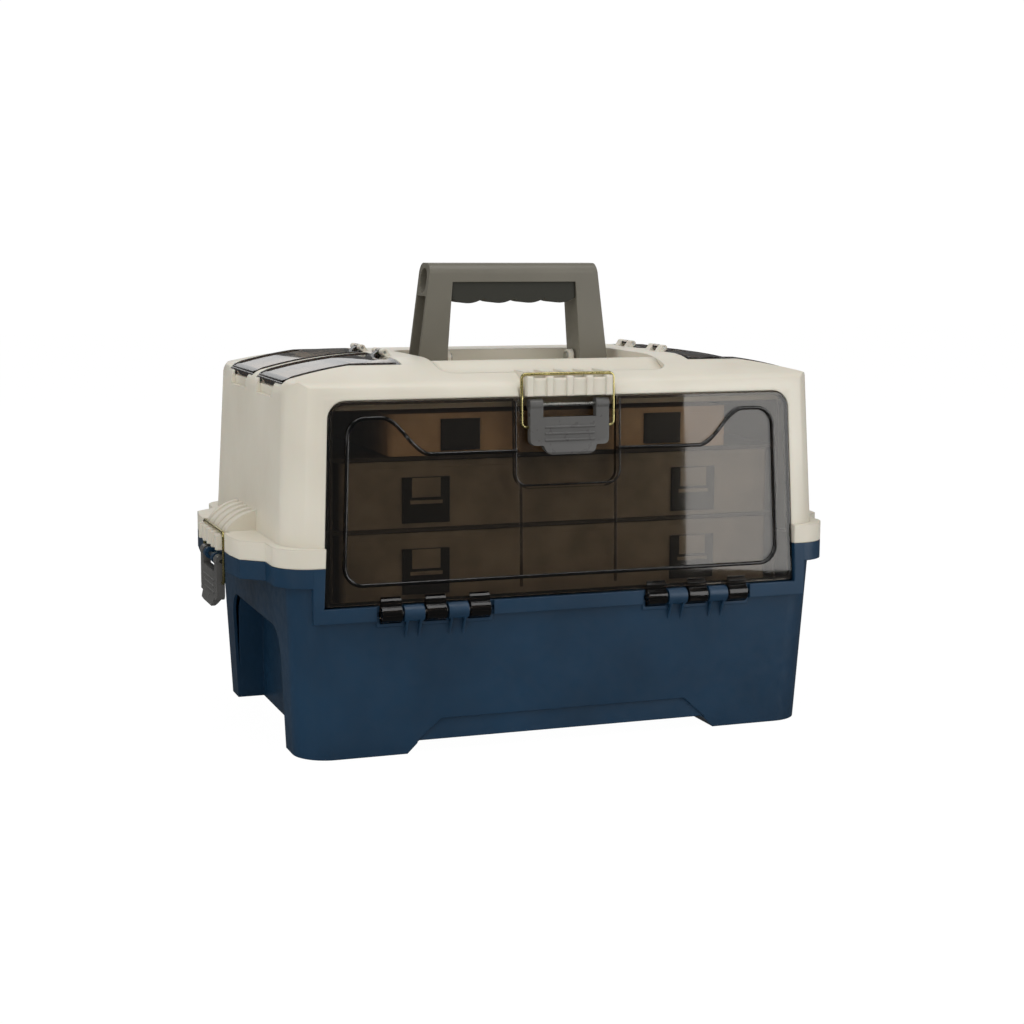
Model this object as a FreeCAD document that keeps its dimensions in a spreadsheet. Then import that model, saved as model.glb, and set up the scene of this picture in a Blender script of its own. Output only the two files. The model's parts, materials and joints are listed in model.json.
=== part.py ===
import FreeCAD, Part
import math
import os
import Sketcher
from FreeCAD import Placement, Rotation, Vector

DOC = FreeCAD.newDocument("TackleCabinet")
SHEET = DOC.addObject("Spreadsheet::Sheet", "Dims")


class Size:
    """A length, angle or share from the sheet, kept as a number and as the formula that binds it."""

    def __init__(self, value, text):
        self.value = float(value)
        self.text = text

    @staticmethod
    def of(other):
        return other if isinstance(other, Size) else Size(other, repr(other))

    def joined(self, other, sign, value):
        return Size(value, "(%s %s %s)" % (self.text, sign, other.text))

    def __add__(self, other):
        other = Size.of(other)
        return self.joined(other, "+", self.value + other.value)

    def __radd__(self, other):
        return Size.of(other) + self

    def __sub__(self, other):
        other = Size.of(other)
        return self.joined(other, "-", self.value - other.value)

    def __rsub__(self, other):
        return Size.of(other) - self

    def __mul__(self, other):
        other = Size.of(other)
        return self.joined(other, "*", self.value * other.value)

    def __rmul__(self, other):
        return Size.of(other) * self

    def __truediv__(self, other):
        other = Size.of(other)
        return self.joined(other, "/", self.value / other.value)

    def __neg__(self):
        return Size(-self.value, "(0 - %s)" % self.text)

    def tan(self):
        return Size(math.tan(math.radians(self.value)), "tan(%s)" % self.text)

    def cos(self):
        return Size(math.cos(math.radians(self.value)), "cos(%s)" % self.text)

    def sin(self):
        return Size(math.sin(math.radians(self.value)), "sin(%s)" % self.text)


def root(size):
    return Size(math.sqrt(size.value), "sqrt(%s)" % size.text)


class Dims:
    """The named sizes of the sheet, in millimetres and degrees."""


d = Dims()

# Driving sizes, one row of the sheet each
SIZES = [
    # base tub
    ("base_half_length", 211.6),
    ("base_half_depth", 133.3),
    ("base_draft_angle", 2.79),
    ("base_corner_radius", 27.0),
    ("base_wall", 2.6),
    ("split_height", 147.6),
    ("split_gap", 0.3),
    ("floor_lift", 9.5),
    ("arch_half_width_low", 128.5),
    ("arch_half_width_high", 119.0),
    ("relief_half_width", 102.0),
    ("relief_height", 26.0),
    ("relief_depth", 1.6),
    ("recess_half_width", 86.0),
    ("recess_height", 93.0),
    ("recess_depth", 22.0),
    ("recess_corner_radius", 22.0),
    # rim shared by base and lid
    ("rim_half_depth", 142.0),
    ("rim_half_length", 228.5),
    ("rim_corner_radius", 28.0),
    ("rim_drop", 14.4),
    ("rim_rise", 14.4),
    ("rim_skin", 2.6),
    ("bump_reach", 16.5),
    ("bump_half_width_low", 97.0),
    ("bump_half_width_high", 82.0),
    ("plate_reach", 3.0),
    ("plate_half_width", 60.0),
    ("latch_bay_half_width", 41.0),
    ("latch_bay_depth", 4.6),
    # lid housing
    ("lid_half_length", 222.5),
    ("lid_half_depth", 138.0),
    ("lid_draft_angle", 2.6),
    ("lid_corner_radius", 30.0),
    ("lid_wall", 2.8),
    ("top_height", 297.0),
    ("crown_start", 112.0),
    ("crown_radius", 368.0),
    ("end_edge_radius", 14.0),
    ("edge_height", 270.0),
    ("shoulder_start", 60.0),
    ("shoulder_radius", 150.0),
    ("front_edge_radius", 17.0),
    ("ceiling_height", 262.0),
    ("ceiling_skin", 2.6),
    # smoke door
    ("door_half_width", 194.0),
    ("door_bottom", 7.46),
    ("door_height", 151.4),
    ("door_lean", 2.25),
    ("door_side_angle", 2.25),
    ("door_skin", 2.8),
    ("door_corner_radius", 13.0),
    ("door_gap", 1.2),
    ("door_line_width", 1.8),
    ("door_line_rise", 0.9),
    ("door_line_inset", 14.0),
    ("door_skirt_depth", 6.0),
    ("door_bay_depth", 5.2),
    ("door_bay_low", 92.4),
    ("door_bay_radius", 9.0),
    ("door_rib_place", 38.0),
    ("door_rib_width", 2.0),
    ("door_skirt_skin", 2.2),
    ("door_lip_width", 8.0),
    # front hinge
    ("hinge_height", 110.6),
    ("hinge_depth", 139.35),
    ("knuckle_radius", 6.4),
    ("knuckle_start", 65.5),
    ("knuckle_width", 15.8),
    ("knuckle_gap", 1.7),
    ("hinge_pin_radius", 1.8),
    ("pin_clearance", 0.05),
    ("turning_gap", 0.9),
    # rear hinge
    ("rear_hinge_depth", 147.4),
    ("rear_knuckle_radius", 4.4),
    ("rear_knuckle_start", 78.0),
    ("rear_knuckle_width", 21.0),
    ("rear_knuckle_gap", 0.8),
    # latch
    ("latch_half_width", 32.3),
    ("latch_tab_half_width", 21.5),
    ("latch_front", 3.8),
    ("latch_back", 2.4),
    ("latch_stand", 0.4),
    ("latch_top_radius", 4.6),
    ("latch_body_drop", 31.0),
    ("latch_tip_drop", 38.0),
    ("latch_slot_half_width", 21.8),
    ("latch_slot_drop", 9.4),
    ("latch_pin_radius", 1.6),
    ("latch_lug_inner", 11.0),
    ("latch_lug_width", 6.0),
    ("bail_radius", 1.2),
    ("bail_half_width", 37.6),
    ("bail_pivot_drop", 17.0),
    ("bail_pivot_back", 0.6),
    ("bail_rise", 23.4),
    ("bail_corner_radius", 2.6),
    ("bail_hook_length", 7.5),
    ("catch_half_width", 35.0),
    ("catch_front", 4.6),
    ("catch_low", 6.8),
    ("catch_high", 25.0),
    ("catch_rib_width", 5.2),
    ("catch_panel_depth", 1.6),
    ("catch_edge_radius", 3.0),
    ("front_latch_height", 264.0),
    ("side_latch_height", 138.4),
    ("side_latch_gap", 0.6),
    ("side_catch_top", 178.0),
    ("side_catch_radius", 34.0),
    # handle
    ("handle_pivot_height", 291.5),
    ("handle_half_width_low", 81.4),
    ("handle_half_width_high", 72.0),
    ("handle_inner_low", 57.4),
    ("handle_inner_high", 53.4),
    ("handle_depth", 28.0),
    ("handle_top", 368.8),
    ("handle_bar_low", 353.6),
    ("handle_skin", 2.8),
    ("handle_round_radius", 12.6),
    ("handle_pin_radius", 2.5),
    ("handle_lug_width", 4.5),
    ("handle_gap", 1.2),
    ("grip_low", 339.4),
    ("grip_depth", 25.0),
    ("grip_gap", 0.15),
    ("well_half_length", 94.0),
    ("well_front", 112.0),
    ("well_back", 24.0),
    ("well_floor", 276.4),
    ("well_corner_radius", 12.0),
    # top compartments and their lids
    ("hatch_inner", 120.0),
    ("hatch_outer", 213.6),
    ("hatch_near", 7.0),
    ("hatch_far", 92.0),
    ("hatch_skin", 2.2),
    ("hatch_gap", 0.7),
    ("hatch_ledge", 5.0),
    ("hatch_panel_rise", 0.9),
    ("hatch_knuckle_radius", 2.5),
    ("hatch_pin_radius", 1.1),
    ("hatch_axis_rise", 2.9),
    ("hatch_knuckle_start", 18.0),
    ("hatch_knuckle_width", 9.0),
    ("notch_near", 20.0),
    ("notch_far", 72.0),
    ("notch_height", 269.0),
    ("tub_floor_skin", 2.6),
    # rack
    ("rack_half_width", 186.0),
    ("rack_skin", 2.5),
    ("rack_front", 123.5),
    ("rack_back", 113.5),
    ("shelf_low", 117.4),
    ("shelf_pitch", 54.5),
    # utility boxes
    ("box_half_length", 177.8),
    ("box_depth", 231.8),
    ("box_height", 50.8),
    ("small_box_half_length", 139.7),
    ("small_box_depth", 184.0),
    ("small_box_height", 31.8),
    ("box_skin", 1.8),
    ("box_gap", 0.4),
    ("box_cover_height", 5.0),
    ("box_front_inset", 1.2),
    ("box_corner_radius", 5.0),
    ("box_latch_half_width", 18.8),
    ("box_latch_place", 110.9),
    ("box_latch_height", 35.0),
    ("small_latch_half_width", 15.6),
    ("small_latch_place", 83.5),
    ("small_latch_height", 24.0),
    # cutting overrun
    ("overrun", 30.0),
    ("bore_overcut", 1.0),
    # depth to which a catch is buried in the wall, and how far back the front catch reaches
    ("catch_bury", 1.0),
    ("catch_root_length", 48.0),
    # hollows under the lid's top behind and before the middle
    ("rear_hollow_length", 62.0),
    ("front_hollow_length", 55.0),
    # handle webs, grip waves and the handle pins' ends
    ("handle_web_overlap", 1.0),
    ("grip_wave_rise", 1.0),
    ("handle_pin_tail", 1.0),
    ("handle_pin_head", 1.5),
]
for row, (name, value) in enumerate(SIZES, start=1):
    SHEET.set("A%d" % row, name)
    SHEET.set("B%d" % row, repr(value))
    SHEET.setAlias("B%d" % row, name)
    setattr(d, name, Size(value, "Dims." + name))
DOC.recompute()


# Drawing helpers

# how far an edge may lie from a place to count as there, and the gap that closes an outline
EDGE_SLACK = 0.6
TOUCH = 0.01


def rect(x_low, y_low, x_high, y_high):
    return [(x_low, y_low), (x_high, y_low), (x_high, y_high), (x_low, y_high)]


def refresh(*items):
    for item in items:
        item.recompute()


def flipped(points):
    """The same outline mirrored to the other side of the upright axis, still in the same turning sense."""
    count = len(points)
    result = []
    for i in range(count):
        here = points[count - 1 - i]
        before = points[(count - i) % count]
        bend = (before[2], before[3]) if len(before) > 2 else ()
        result.append((-Size.of(here[0]), here[1]) + bend)
    return result


class Piece:
    """One moulded or turned piece, built feature by feature in its own body."""

    def __init__(self, label):
        self.body = DOC.addObject("PartDesign::Body", label)
        self.body.Label = label
        self.label = label
        self.count = 0
        self.core_done = False
        self.later = False
        self.extras = {}
        self.result = self.body

    def named(self, kind):
        self.count += 1
        return self.body.newObject(kind, "%s_%02d" % (self.label, self.count))

    def sketch(self, plane, level=None):
        drawing = self.named("Sketcher::SketchObject")
        origin = [f for f in self.body.Origin.OriginFeatures if f.Role == plane][0]
        drawing.AttachmentSupport = (origin, [""])
        drawing.MapMode = "FlatFace"
        if level is not None:
            drawing.setExpression("AttachmentOffset.Base.z", Size.of(level).text)
        return drawing

    def feature(self, kind, drawing, length, middle=False, back=False, taper=None):
        item = self.named(kind)
        item.Profile = drawing
        item.setExpression("Length", Size.of(length).text)
        item.Midplane = middle
        item.Reversed = back
        if taper is not None:
            item.setExpression("TaperAngle", Size.of(taper).text)
        refresh(drawing, item)
        return item

    def pad(self, plane, loops, length, level=None, **more):
        if self.core_done:
            return self.block("add", plane, loops, length, level, **more)
        drawing = self.sketch(plane, level)
        draw(drawing, loops)
        return self.feature("PartDesign::Pad", drawing, length, **more)

    def pocket(self, plane, loops, length, level=None, **more):
        if self.core_done:
            return self.block("cut", plane, loops, length, level, **more)
        drawing = self.sketch(plane, level)
        draw(drawing, loops)
        before = self.body.Tip.Shape.Volume
        item = self.feature("PartDesign::Pocket", drawing, length, **more)
        if before - item.Shape.Volume <= 0:
            raise RuntimeError("a pocket of %s cuts nothing" % self.label)
        return item

    def block(self, kind, plane, loops, length, level=None, middle=False, back=False):
        """An extruded outline beside the core, joined to it or cut from it when the piece is finished."""
        self.count += 1
        drawing = DOC.addObject("Sketcher::SketchObject", "%s_%02d" % (self.label, self.count))
        turns = {
            "XY_Plane": (Rotation(), "z", 1),
            "XZ_Plane": (Rotation(Vector(1, 0, 0), 90), "y", -1),
            "YZ_Plane": (Rotation(Vector(1, 1, 1), 120), "x", 1),
        }
        rotation, key, sign = turns[plane]
        drawing.Placement = Placement(Vector(0, 0, 0), rotation)
        shift = Size.of(0.0 if level is None else level)
        shift = shift if sign > 0 else -shift
        drawing.setExpression("Placement.Base." + key, shift.text)
        draw(drawing, loops)
        item = DOC.addObject("Part::Extrusion", drawing.Name + "x")
        item.Base = drawing
        item.DirMode = "Normal"
        item.Solid = True
        item.Symmetric = middle
        item.Reversed = (kind == "cut") != back if not middle else False
        item.setExpression("LengthFwd", Size.of(length).text)
        refresh(drawing, item)
        self.extras.setdefault((self.later, kind), []).append(item)
        return item

    def finish(self, label=None):
        """Joins and cuts the blocks, first the early ones and then the later ones."""
        run = self.body
        refresh(run)
        for stage in (("first", "cut"), (False, "add"), (False, "cut"), (True, "add"), (True, "cut")):
            tools = self.extras.get(stage, [])
            if not tools:
                continue
            self.count += 1
            name = "%s_%02d" % (self.label, self.count)
            if stage[1] == "add":
                item = DOC.addObject("Part::MultiFuse", name)
                item.Shapes = [run] + tools
            else:
                tool = tools[0]
                if len(tools) > 1:
                    tool = DOC.addObject("Part::MultiFuse", name + "t")
                    tool.Shapes = tools
                    refresh(tool)
                item = DOC.addObject("Part::Cut", name)
                item.Base = run
                item.Tool = tool
            item.Refine = True
            refresh(item)
            change = item.Shape.Volume - run.Shape.Volume
            if (change <= 0) == (stage[1] == "add"):
                raise RuntimeError("%s changes nothing on %s" % (name, self.label))
            run = item
        if run is not self.body:
            self.body.Label = self.label + "_core"
        run.Label = label or self.label
        self.result = run
        return self

    def revolve(self, plane, loops, axis="Base_X", level=None, angle=360.0, cut=False):
        drawing = self.sketch(plane, level)
        draw(drawing, loops)
        kind = "PartDesign::Groove" if cut else "PartDesign::Revolution"
        item = self.named(kind)
        item.Profile = drawing
        item.ReferenceAxis = (drawing, ["H_Axis" if axis == "H" else "V_Axis"])
        item.Angle = angle
        refresh(drawing, item)
        return item

    def wedge(self, half_x, half_y, low, high, slope):
        """A block whose four sides lean by a slope per unit of height; sizes are taken at its foot."""
        item = self.named("PartDesign::AdditiveWedge")
        item.Placement = Placement(Vector(0, 0, 0), Rotation(Vector(1, 0, 0), 90))
        half_x, half_y, low, high, slope = [Size.of(v) for v in (half_x, half_y, low, high, slope)]
        grow = (high - low) * slope
        edges = {
            "Xmin": -half_x, "Xmax": half_x, "Zmin": -half_y, "Zmax": half_y, "Ymin": low, "Ymax": high,
            "X2min": -half_x - grow, "X2max": half_x + grow, "Z2min": -half_y - grow, "Z2max": half_y + grow,
        }
        item.Ymax = high.value
        item.Ymin = low.value
        for key, value in edges.items():
            item.setExpression(key, value.text)
        refresh(item)
        return item

    def hollow(self, other):
        """Cuts a whole other piece away before anything else is joined or cut."""
        other.finish()
        self.extras[("first", "cut")] = [other.result]

    def edges(self, pick):
        return ["Edge%d" % (i + 1) for i, e in enumerate(self.body.Tip.Shape.Edges) if pick(e)]

    def round(self, radius, pick):
        names = self.edges(pick)
        if not names:
            raise RuntimeError("no edge to round on %s" % self.label)
        base = self.body.Tip
        item = self.named("PartDesign::Fillet")
        item.Base = (base, names)
        item.setExpression("Radius", Size.of(radius).text)
        refresh(item)
        return item

    def bevel(self, size, pick):
        names = self.edges(pick)
        base = self.body.Tip
        item = self.named("PartDesign::Chamfer")
        item.Base = (base, names)
        item.setExpression("Size", Size.of(size).text)
        refresh(item)
        return item

    def place(self, x=0.0, y=0.0, z=0.0, axis=Vector(0, 0, 1), angle=0.0):
        item = self.result
        item.Placement = Placement(Vector(0, 0, 0), Rotation(axis, Size.of(angle).value))
        for key, value in (("x", x), ("y", y), ("z", z)):
            item.setExpression("Placement.Base." + key, Size.of(value).text)
        if isinstance(angle, Size):
            item.setExpression("Placement.Rotation.Angle", angle.text)
        refresh(item)
        return self


def draw(drawing, loops):
    if isinstance(loops[0], tuple) and loops[0][0] != "circle":
        loops = [loops]
    for points in loops:
        if points[0] == "circle":
            draw_circle(drawing, points)
        else:
            draw_outline(drawing, points)


def bind(drawing, constraint, size):
    index = drawing.addConstraint(constraint)
    drawing.setExpression("Constraints[%d]" % index, size.text)


def draw_circle(drawing, circle):
    x, y, radius = [Size.of(v) for v in circle[1:]]
    shape = Part.Circle(Vector(x.value, y.value, 0), Vector(0, 0, 1), radius.value)
    item = drawing.addGeometry(shape, False)
    bind(drawing, Sketcher.Constraint("DistanceX", -1, 1, item, 3, x.value), x)
    bind(drawing, Sketcher.Constraint("DistanceY", -1, 1, item, 3, y.value), y)
    bind(drawing, Sketcher.Constraint("Radius", item, radius.value), radius)


def draw_outline(drawing, points):
    """A closed outline. A point (x, y, radius, side) ends an arc whose centre is left (1) or right (-1)."""
    count = len(points)
    places = [(Size.of(p[0]), Size.of(p[1])) for p in points]
    pieces = []
    for i in range(count):
        ahead = (i + 1) % count
        start = Vector(places[i][0].value, places[i][1].value, 0)
        stop = Vector(places[ahead][0].value, places[ahead][1].value, 0)
        if len(points[ahead]) == 2:
            item = drawing.addGeometry(Part.LineSegment(start, stop), False)
            pieces.append((item, 1, 2, None))
            continue
        radius = Size.of(points[ahead][2])
        side = points[ahead][3]
        chord = stop - start
        rise = math.sqrt(max(radius.value ** 2 - (chord.Length / 2) ** 2, 0.0))
        centre = (start + stop) * 0.5 + Vector(-chord.y, chord.x, 0) / chord.Length * rise * side
        turn = [math.atan2(p.y - centre.y, p.x - centre.x) for p in (start, stop)]
        ring = Part.Circle(centre, Vector(0, 0, 1), radius.value)
        if side > 0:
            item = drawing.addGeometry(Part.ArcOfCircle(ring, turn[0], turn[1]), False)
            pieces.append((item, 1, 2, radius))
        else:
            item = drawing.addGeometry(Part.ArcOfCircle(ring, turn[1], turn[0]), False)
            pieces.append((item, 2, 1, radius))
    for i in range(count):
        item, start, stop, radius = pieces[i]
        after, after_start = pieces[(i + 1) % count][:2]
        drawing.addConstraint(Sketcher.Constraint("Coincident", item, stop, after, after_start))
        x, y = places[(i + 1) % count]
        bind(drawing, Sketcher.Constraint("DistanceX", -1, 1, after, after_start, x.value), x)
        bind(drawing, Sketcher.Constraint("DistanceY", -1, 1, after, after_start, y.value), y)
        if radius is not None:
            bind(drawing, Sketcher.Constraint("Radius", item, radius.value), radius)


def direction(edge):
    return edge.tangentAt(edge.FirstParameter)


def middle(edge):
    return edge.valueAt((edge.FirstParameter + edge.LastParameter) / 2)


def straight(edge):
    ends = edge.valueAt(edge.LastParameter) - edge.valueAt(edge.FirstParameter)
    return abs(edge.Length - ends.Length) < 0.001 * edge.Length


def near(one, other, slack=EDGE_SLACK):
    return abs(one - Size.of(other).value) < slack


def upright(edge):
    return straight(edge) and abs(direction(edge).z) > 0.9


NODES = []


def node(item):
    if isinstance(item, Piece):
        refresh(item.body)
        item = item.result
    NODES.append(item)
    return item


# Shared places worked out from the named sizes

BASE_SLOPE = d.base_draft_angle.tan()
LID_SLOPE = d.lid_draft_angle.tan()
LEAN = d.door_lean.tan()
SIDE_LEAN = d.door_side_angle.tan()
RIM_LOW = d.split_height - d.rim_drop
LID_LOW = d.split_height + d.split_gap
RIM_TOP = LID_LOW + d.rim_rise
BUMP_X = d.rim_half_length + d.bump_reach
PLATE_X = BUMP_X + d.plate_reach
BAY_X = PLATE_X - d.latch_bay_depth
SIDE_PIVOT_X = BAY_X + d.side_latch_gap + d.latch_top_radius
DOOR_TOP = d.door_bottom + d.door_height
LEAN_SIN = d.door_lean.sin()
LEAN_COS = d.door_lean.cos()
PIVOT_UP = (d.front_latch_height - d.hinge_height - d.latch_stand * LEAN_SIN) / LEAN_COS
STEP = d.knuckle_width + d.knuckle_gap
SHELVES = [d.shelf_low, d.shelf_low + d.shelf_pitch, d.shelf_low + 2 * d.shelf_pitch]
# where the door's raised line dips, as shares of the door's half width
DIP_NEAR_SHARE = 0.575
DIP_FAR_SHARE = 0.76
# a regular octagon's corner places as shares of its outer radius
OCTAGON_WIDE_SHARE = math.cos(math.pi / 8)
OCTAGON_NARROW_SHARE = math.sin(math.pi / 8)
SIDES = (1, -1)
HALVES = (("right", 1), ("left", -1))


def rounded(half_x, half_y, radius, x=0.0, y=0.0):
    """A rectangle with round corners about a centre."""
    left = x - half_x
    right = x + half_x
    low = y - half_y
    high = y + half_y
    return [
        (left + radius, low, radius, 1),
        (right - radius, low),
        (right, low + radius, radius, 1),
        (right, high - radius),
        (right - radius, high, radius, 1),
        (left + radius, high),
        (left, high - radius, radius, 1),
        (left, low + radius),
    ]


def rim_outline():
    """The plan of the rim that base and lid share: round corners and a stepped bump at each end."""
    side = d.rim_half_depth
    end = d.rim_half_length
    corner = d.rim_corner_radius
    right = [
        (end - corner, -side),
        (end, -side + corner, corner, 1),
        (end, -d.bump_half_width_low),
        (BUMP_X, -d.bump_half_width_high),
        (PLATE_X, -d.plate_half_width),
        (PLATE_X, -d.latch_bay_half_width),
        (BAY_X, -d.latch_bay_half_width),
        (BAY_X, d.latch_bay_half_width),
        (PLATE_X, d.latch_bay_half_width),
        (PLATE_X, d.plate_half_width),
        (BUMP_X, d.bump_half_width_high),
        (end, d.bump_half_width_low),
        (end, side - corner),
        (end - corner, side, corner, 1),
    ]
    left = []
    for point in right:
        left.append((-point[0], -point[1]) + tuple(point[2:]))
    return right + left


def cross_bar(piece, loops, start, width, side):
    """A pad along X from start to start + width on one side of the middle."""
    level = start if side > 0 else -(start + width)
    return piece.pad("YZ_Plane", loops, width, level=level)


def cross_cut(piece, loops, start, width, side):
    level = start if side > 0 else -(start + width)
    return piece.pocket("YZ_Plane", loops, width, level=level, back=True)


def depth_pad(piece, loops, low, high, slant=None):
    """A pad of an upright outline between two places along Y."""
    return piece.pad("XZ_Plane", loops, high - low, level=-high)


def depth_cut(piece, loops, low, high):
    """A cut of an upright outline between two places along Y."""
    return piece.pocket("XZ_Plane", loops, high - low, level=-low)


def hinge_rows(parity):
    """The start of each front hinge knuckle; even rows belong to the door, odd ones to the base."""
    return [d.knuckle_start + row * STEP for row in range(5) if row % 2 == parity]


def rear_rows(parity):
    step = d.rear_knuckle_width + d.rear_knuckle_gap
    return [d.rear_knuckle_start + row * step for row in range(3) if row % 2 == parity]


def opening_outline(gap, low, high, foot):
    """The door's outline widened by a gap, from the world height low up to its round top corners."""
    grow = d.door_half_width + gap
    narrow = grow - (high - d.hinge_height) * SIDE_LEAN
    wide = grow - (low - d.hinge_height) * SIDE_LEAN
    radius = d.door_corner_radius + gap
    return [
        (-wide, low),
        (wide, low),
        (narrow + radius * SIDE_LEAN, high - radius),
        (narrow - radius, high, radius, 1),
        (-narrow + radius, high),
        (-narrow - radius * SIDE_LEAN, high - radius, radius, 1),
    ]


# Base tub: drafted walls, end recesses between corner columns, arched foot line, notch for the door

def base_tub():
    tub = Piece("base_tub")
    tub.wedge(d.base_half_length, d.base_half_depth, 0.0, d.split_height, BASE_SLOPE)
    tub.round(d.base_corner_radius, upright)
    tub.pad("XY_Plane", rim_outline(), d.rim_drop, level=RIM_LOW)
    tub.core_done = True
    inside = Piece("base_inside")
    inside.wedge(d.base_half_length - d.base_wall + d.base_wall * BASE_SLOPE,
                 d.base_half_depth - d.base_wall + d.base_wall * BASE_SLOPE,
                 d.base_wall, d.split_height + d.base_wall, BASE_SLOPE)
    inside.round(d.base_corner_radius - d.base_wall, upright)
    tub.hollow(inside)
    frame_low = d.hinge_height - 0.6 * d.door_lip_width
    frame_half = d.door_half_width + d.door_gap + d.door_lip_width
    depth_pad(tub, rect(-frame_half, frame_low, frame_half, d.split_height),
              -d.rim_half_depth, -d.rim_half_depth + 2 * d.base_wall)
    skirt_in = d.base_half_length + d.split_height * BASE_SLOPE + d.rim_skin
    for side in SIDES:
        far = BAY_X - d.rim_skin
        loop = rect(skirt_in, -d.plate_half_width, far, d.plate_half_width)
        if side < 0:
            loop = rect(-far, -d.plate_half_width, -skirt_in, d.plate_half_width)
        tub.pocket("XY_Plane", loop, d.rim_drop - d.rim_skin, level=RIM_LOW, back=True)
    recess_floor = d.base_half_length - d.recess_depth
    block = rect(-d.recess_half_width - d.base_wall, 0.0, d.recess_half_width + d.base_wall,
                 d.recess_height + d.base_wall)
    radius = d.recess_corner_radius
    mouth = [
        (-d.recess_half_width, -d.overrun),
        (d.recess_half_width, -d.overrun),
        (d.recess_half_width, d.recess_height - radius),
        (d.recess_half_width - radius, d.recess_height, radius, 1),
        (-d.recess_half_width + radius, d.recess_height),
        (-d.recess_half_width, d.recess_height - radius, radius, 1),
    ]
    for side in SIDES:
        cross_bar(tub, block, recess_floor - d.base_wall, d.recess_depth + d.base_wall / 2, side)
    for side in SIDES:
        cross_cut(tub, mouth, recess_floor, d.recess_depth + d.overrun, side)
    slab_half = d.arch_half_width_low + d.base_wall
    slab_back = d.base_half_depth - d.base_wall / 2
    depth_pad(tub, rect(-slab_half, 0.0, slab_half, d.floor_lift + d.base_wall), -slab_back, slab_back)
    stiff = d.relief_half_width + d.base_wall
    depth_pad(tub, rect(-stiff, d.floor_lift, stiff, d.relief_height + d.base_wall),
              -slab_back, -slab_back + 2 * d.base_wall)
    channel = [
        (-d.arch_half_width_low, -d.overrun),
        (d.arch_half_width_low, -d.overrun),
        (d.arch_half_width_low, 0.0),
        (d.arch_half_width_high, d.floor_lift),
        (-d.arch_half_width_high, d.floor_lift),
        (-d.arch_half_width_low, 0.0),
    ]
    reach = d.rim_half_depth + d.overrun
    depth_cut(tub, channel, -reach, reach)
    relief = [
        (-d.arch_half_width_high - d.relief_depth, d.floor_lift - d.base_wall),
        (d.arch_half_width_high + d.relief_depth, d.floor_lift - d.base_wall),
        (d.arch_half_width_high + d.relief_depth, d.floor_lift),
        (d.relief_half_width, d.relief_height),
        (-d.relief_half_width, d.relief_height),
        (-d.arch_half_width_high - d.relief_depth, d.floor_lift),
    ]
    depth_cut(tub, relief, -reach, -d.base_half_depth + d.relief_depth / 2)
    notch_low = d.hinge_height + d.door_bottom - d.door_gap
    notch = opening_outline(d.door_gap, notch_low, d.split_height + d.overrun, 0.0)
    depth_cut(tub, notch, -reach, -d.rim_half_depth + 4 * d.base_wall)
    base_hinge(tub)
    base_rear_hinge(tub)
    base_latch_lugs(tub)
    return tub.finish()


def base_hinge(tub):
    """Front hinge: fixed knuckles with gussets, and a round trough in a boss behind each door knuckle."""
    axis = ("circle", -d.hinge_depth, d.hinge_height, d.knuckle_radius + d.turning_gap + d.base_wall)
    trough = ("circle", -d.hinge_depth, d.hinge_height, d.knuckle_radius + d.turning_gap)
    barrel = ("circle", -d.hinge_depth, d.hinge_height, d.knuckle_radius)
    bore = ("circle", -d.hinge_depth, d.hinge_height, d.hinge_pin_radius + d.pin_clearance)
    low = d.hinge_height - d.knuckle_radius - d.turning_gap - d.base_wall
    for side in SIDES:
        for start in hinge_rows(0):
            cross_bar(tub, [axis], start - d.knuckle_gap - d.base_wall / 2,
                      d.knuckle_width + 2 * d.knuckle_gap + d.base_wall, side)
    reach = d.rim_half_depth + d.overrun
    for side in SIDES:
        for start in hinge_rows(0):
            low_x = start - d.knuckle_gap / 2
            width = d.knuckle_width + d.knuckle_gap
            cross_cut(tub, [trough], low_x, width, side)
            high = d.hinge_height + d.knuckle_radius + d.turning_gap
            front = rect(-reach, low - d.overrun, -d.hinge_depth, high)
            cross_cut(tub, front, start - 2 * d.knuckle_gap, d.knuckle_width + 4 * d.knuckle_gap, side)
    tub.later = True
    for side in SIDES:
        for start in hinge_rows(1):
            cross_bar(tub, [barrel], start, d.knuckle_width, side)
            gusset = [
                (-d.hinge_depth - d.knuckle_radius, d.hinge_height),
                (-d.hinge_depth + d.base_wall, d.hinge_height - 3.4 * d.knuckle_radius),
                (-d.hinge_depth + d.base_wall, d.hinge_height),
            ]
            for place in (start + d.knuckle_gap, start + d.knuckle_width - 2 * d.knuckle_gap):
                cross_bar(tub, gusset, place, d.knuckle_gap, side)
    for side in SIDES:
        cross_cut(tub, [bore], d.knuckle_start - d.overrun / 3, 5 * STEP + d.overrun / 2, side)


def base_rear_hinge(tub):
    tub.later = True
    barrel = ("circle", d.rear_hinge_depth, d.split_height, d.rear_knuckle_radius)
    bore = ("circle", d.rear_hinge_depth, d.split_height, d.hinge_pin_radius + d.pin_clearance)
    arm = [
        (d.rim_half_depth - d.rim_skin, d.split_height - 2 * d.rear_knuckle_radius),
        (d.rim_half_depth, d.split_height - 2 * d.rear_knuckle_radius),
        (d.rear_hinge_depth, d.split_height - d.rear_knuckle_radius),
        (d.rear_hinge_depth, d.split_height - d.split_gap),
        (d.rim_half_depth - d.rim_skin, d.split_height - d.split_gap),
    ]
    for side in SIDES:
        for start in rear_rows(0):
            cross_bar(tub, arm, start, d.rear_knuckle_width, side)
            cross_bar(tub, [barrel], start, d.rear_knuckle_width, side)
            cross_cut(tub, [bore], start - d.bore_overcut, d.rear_knuckle_width + 2 * d.bore_overcut, side)


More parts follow.
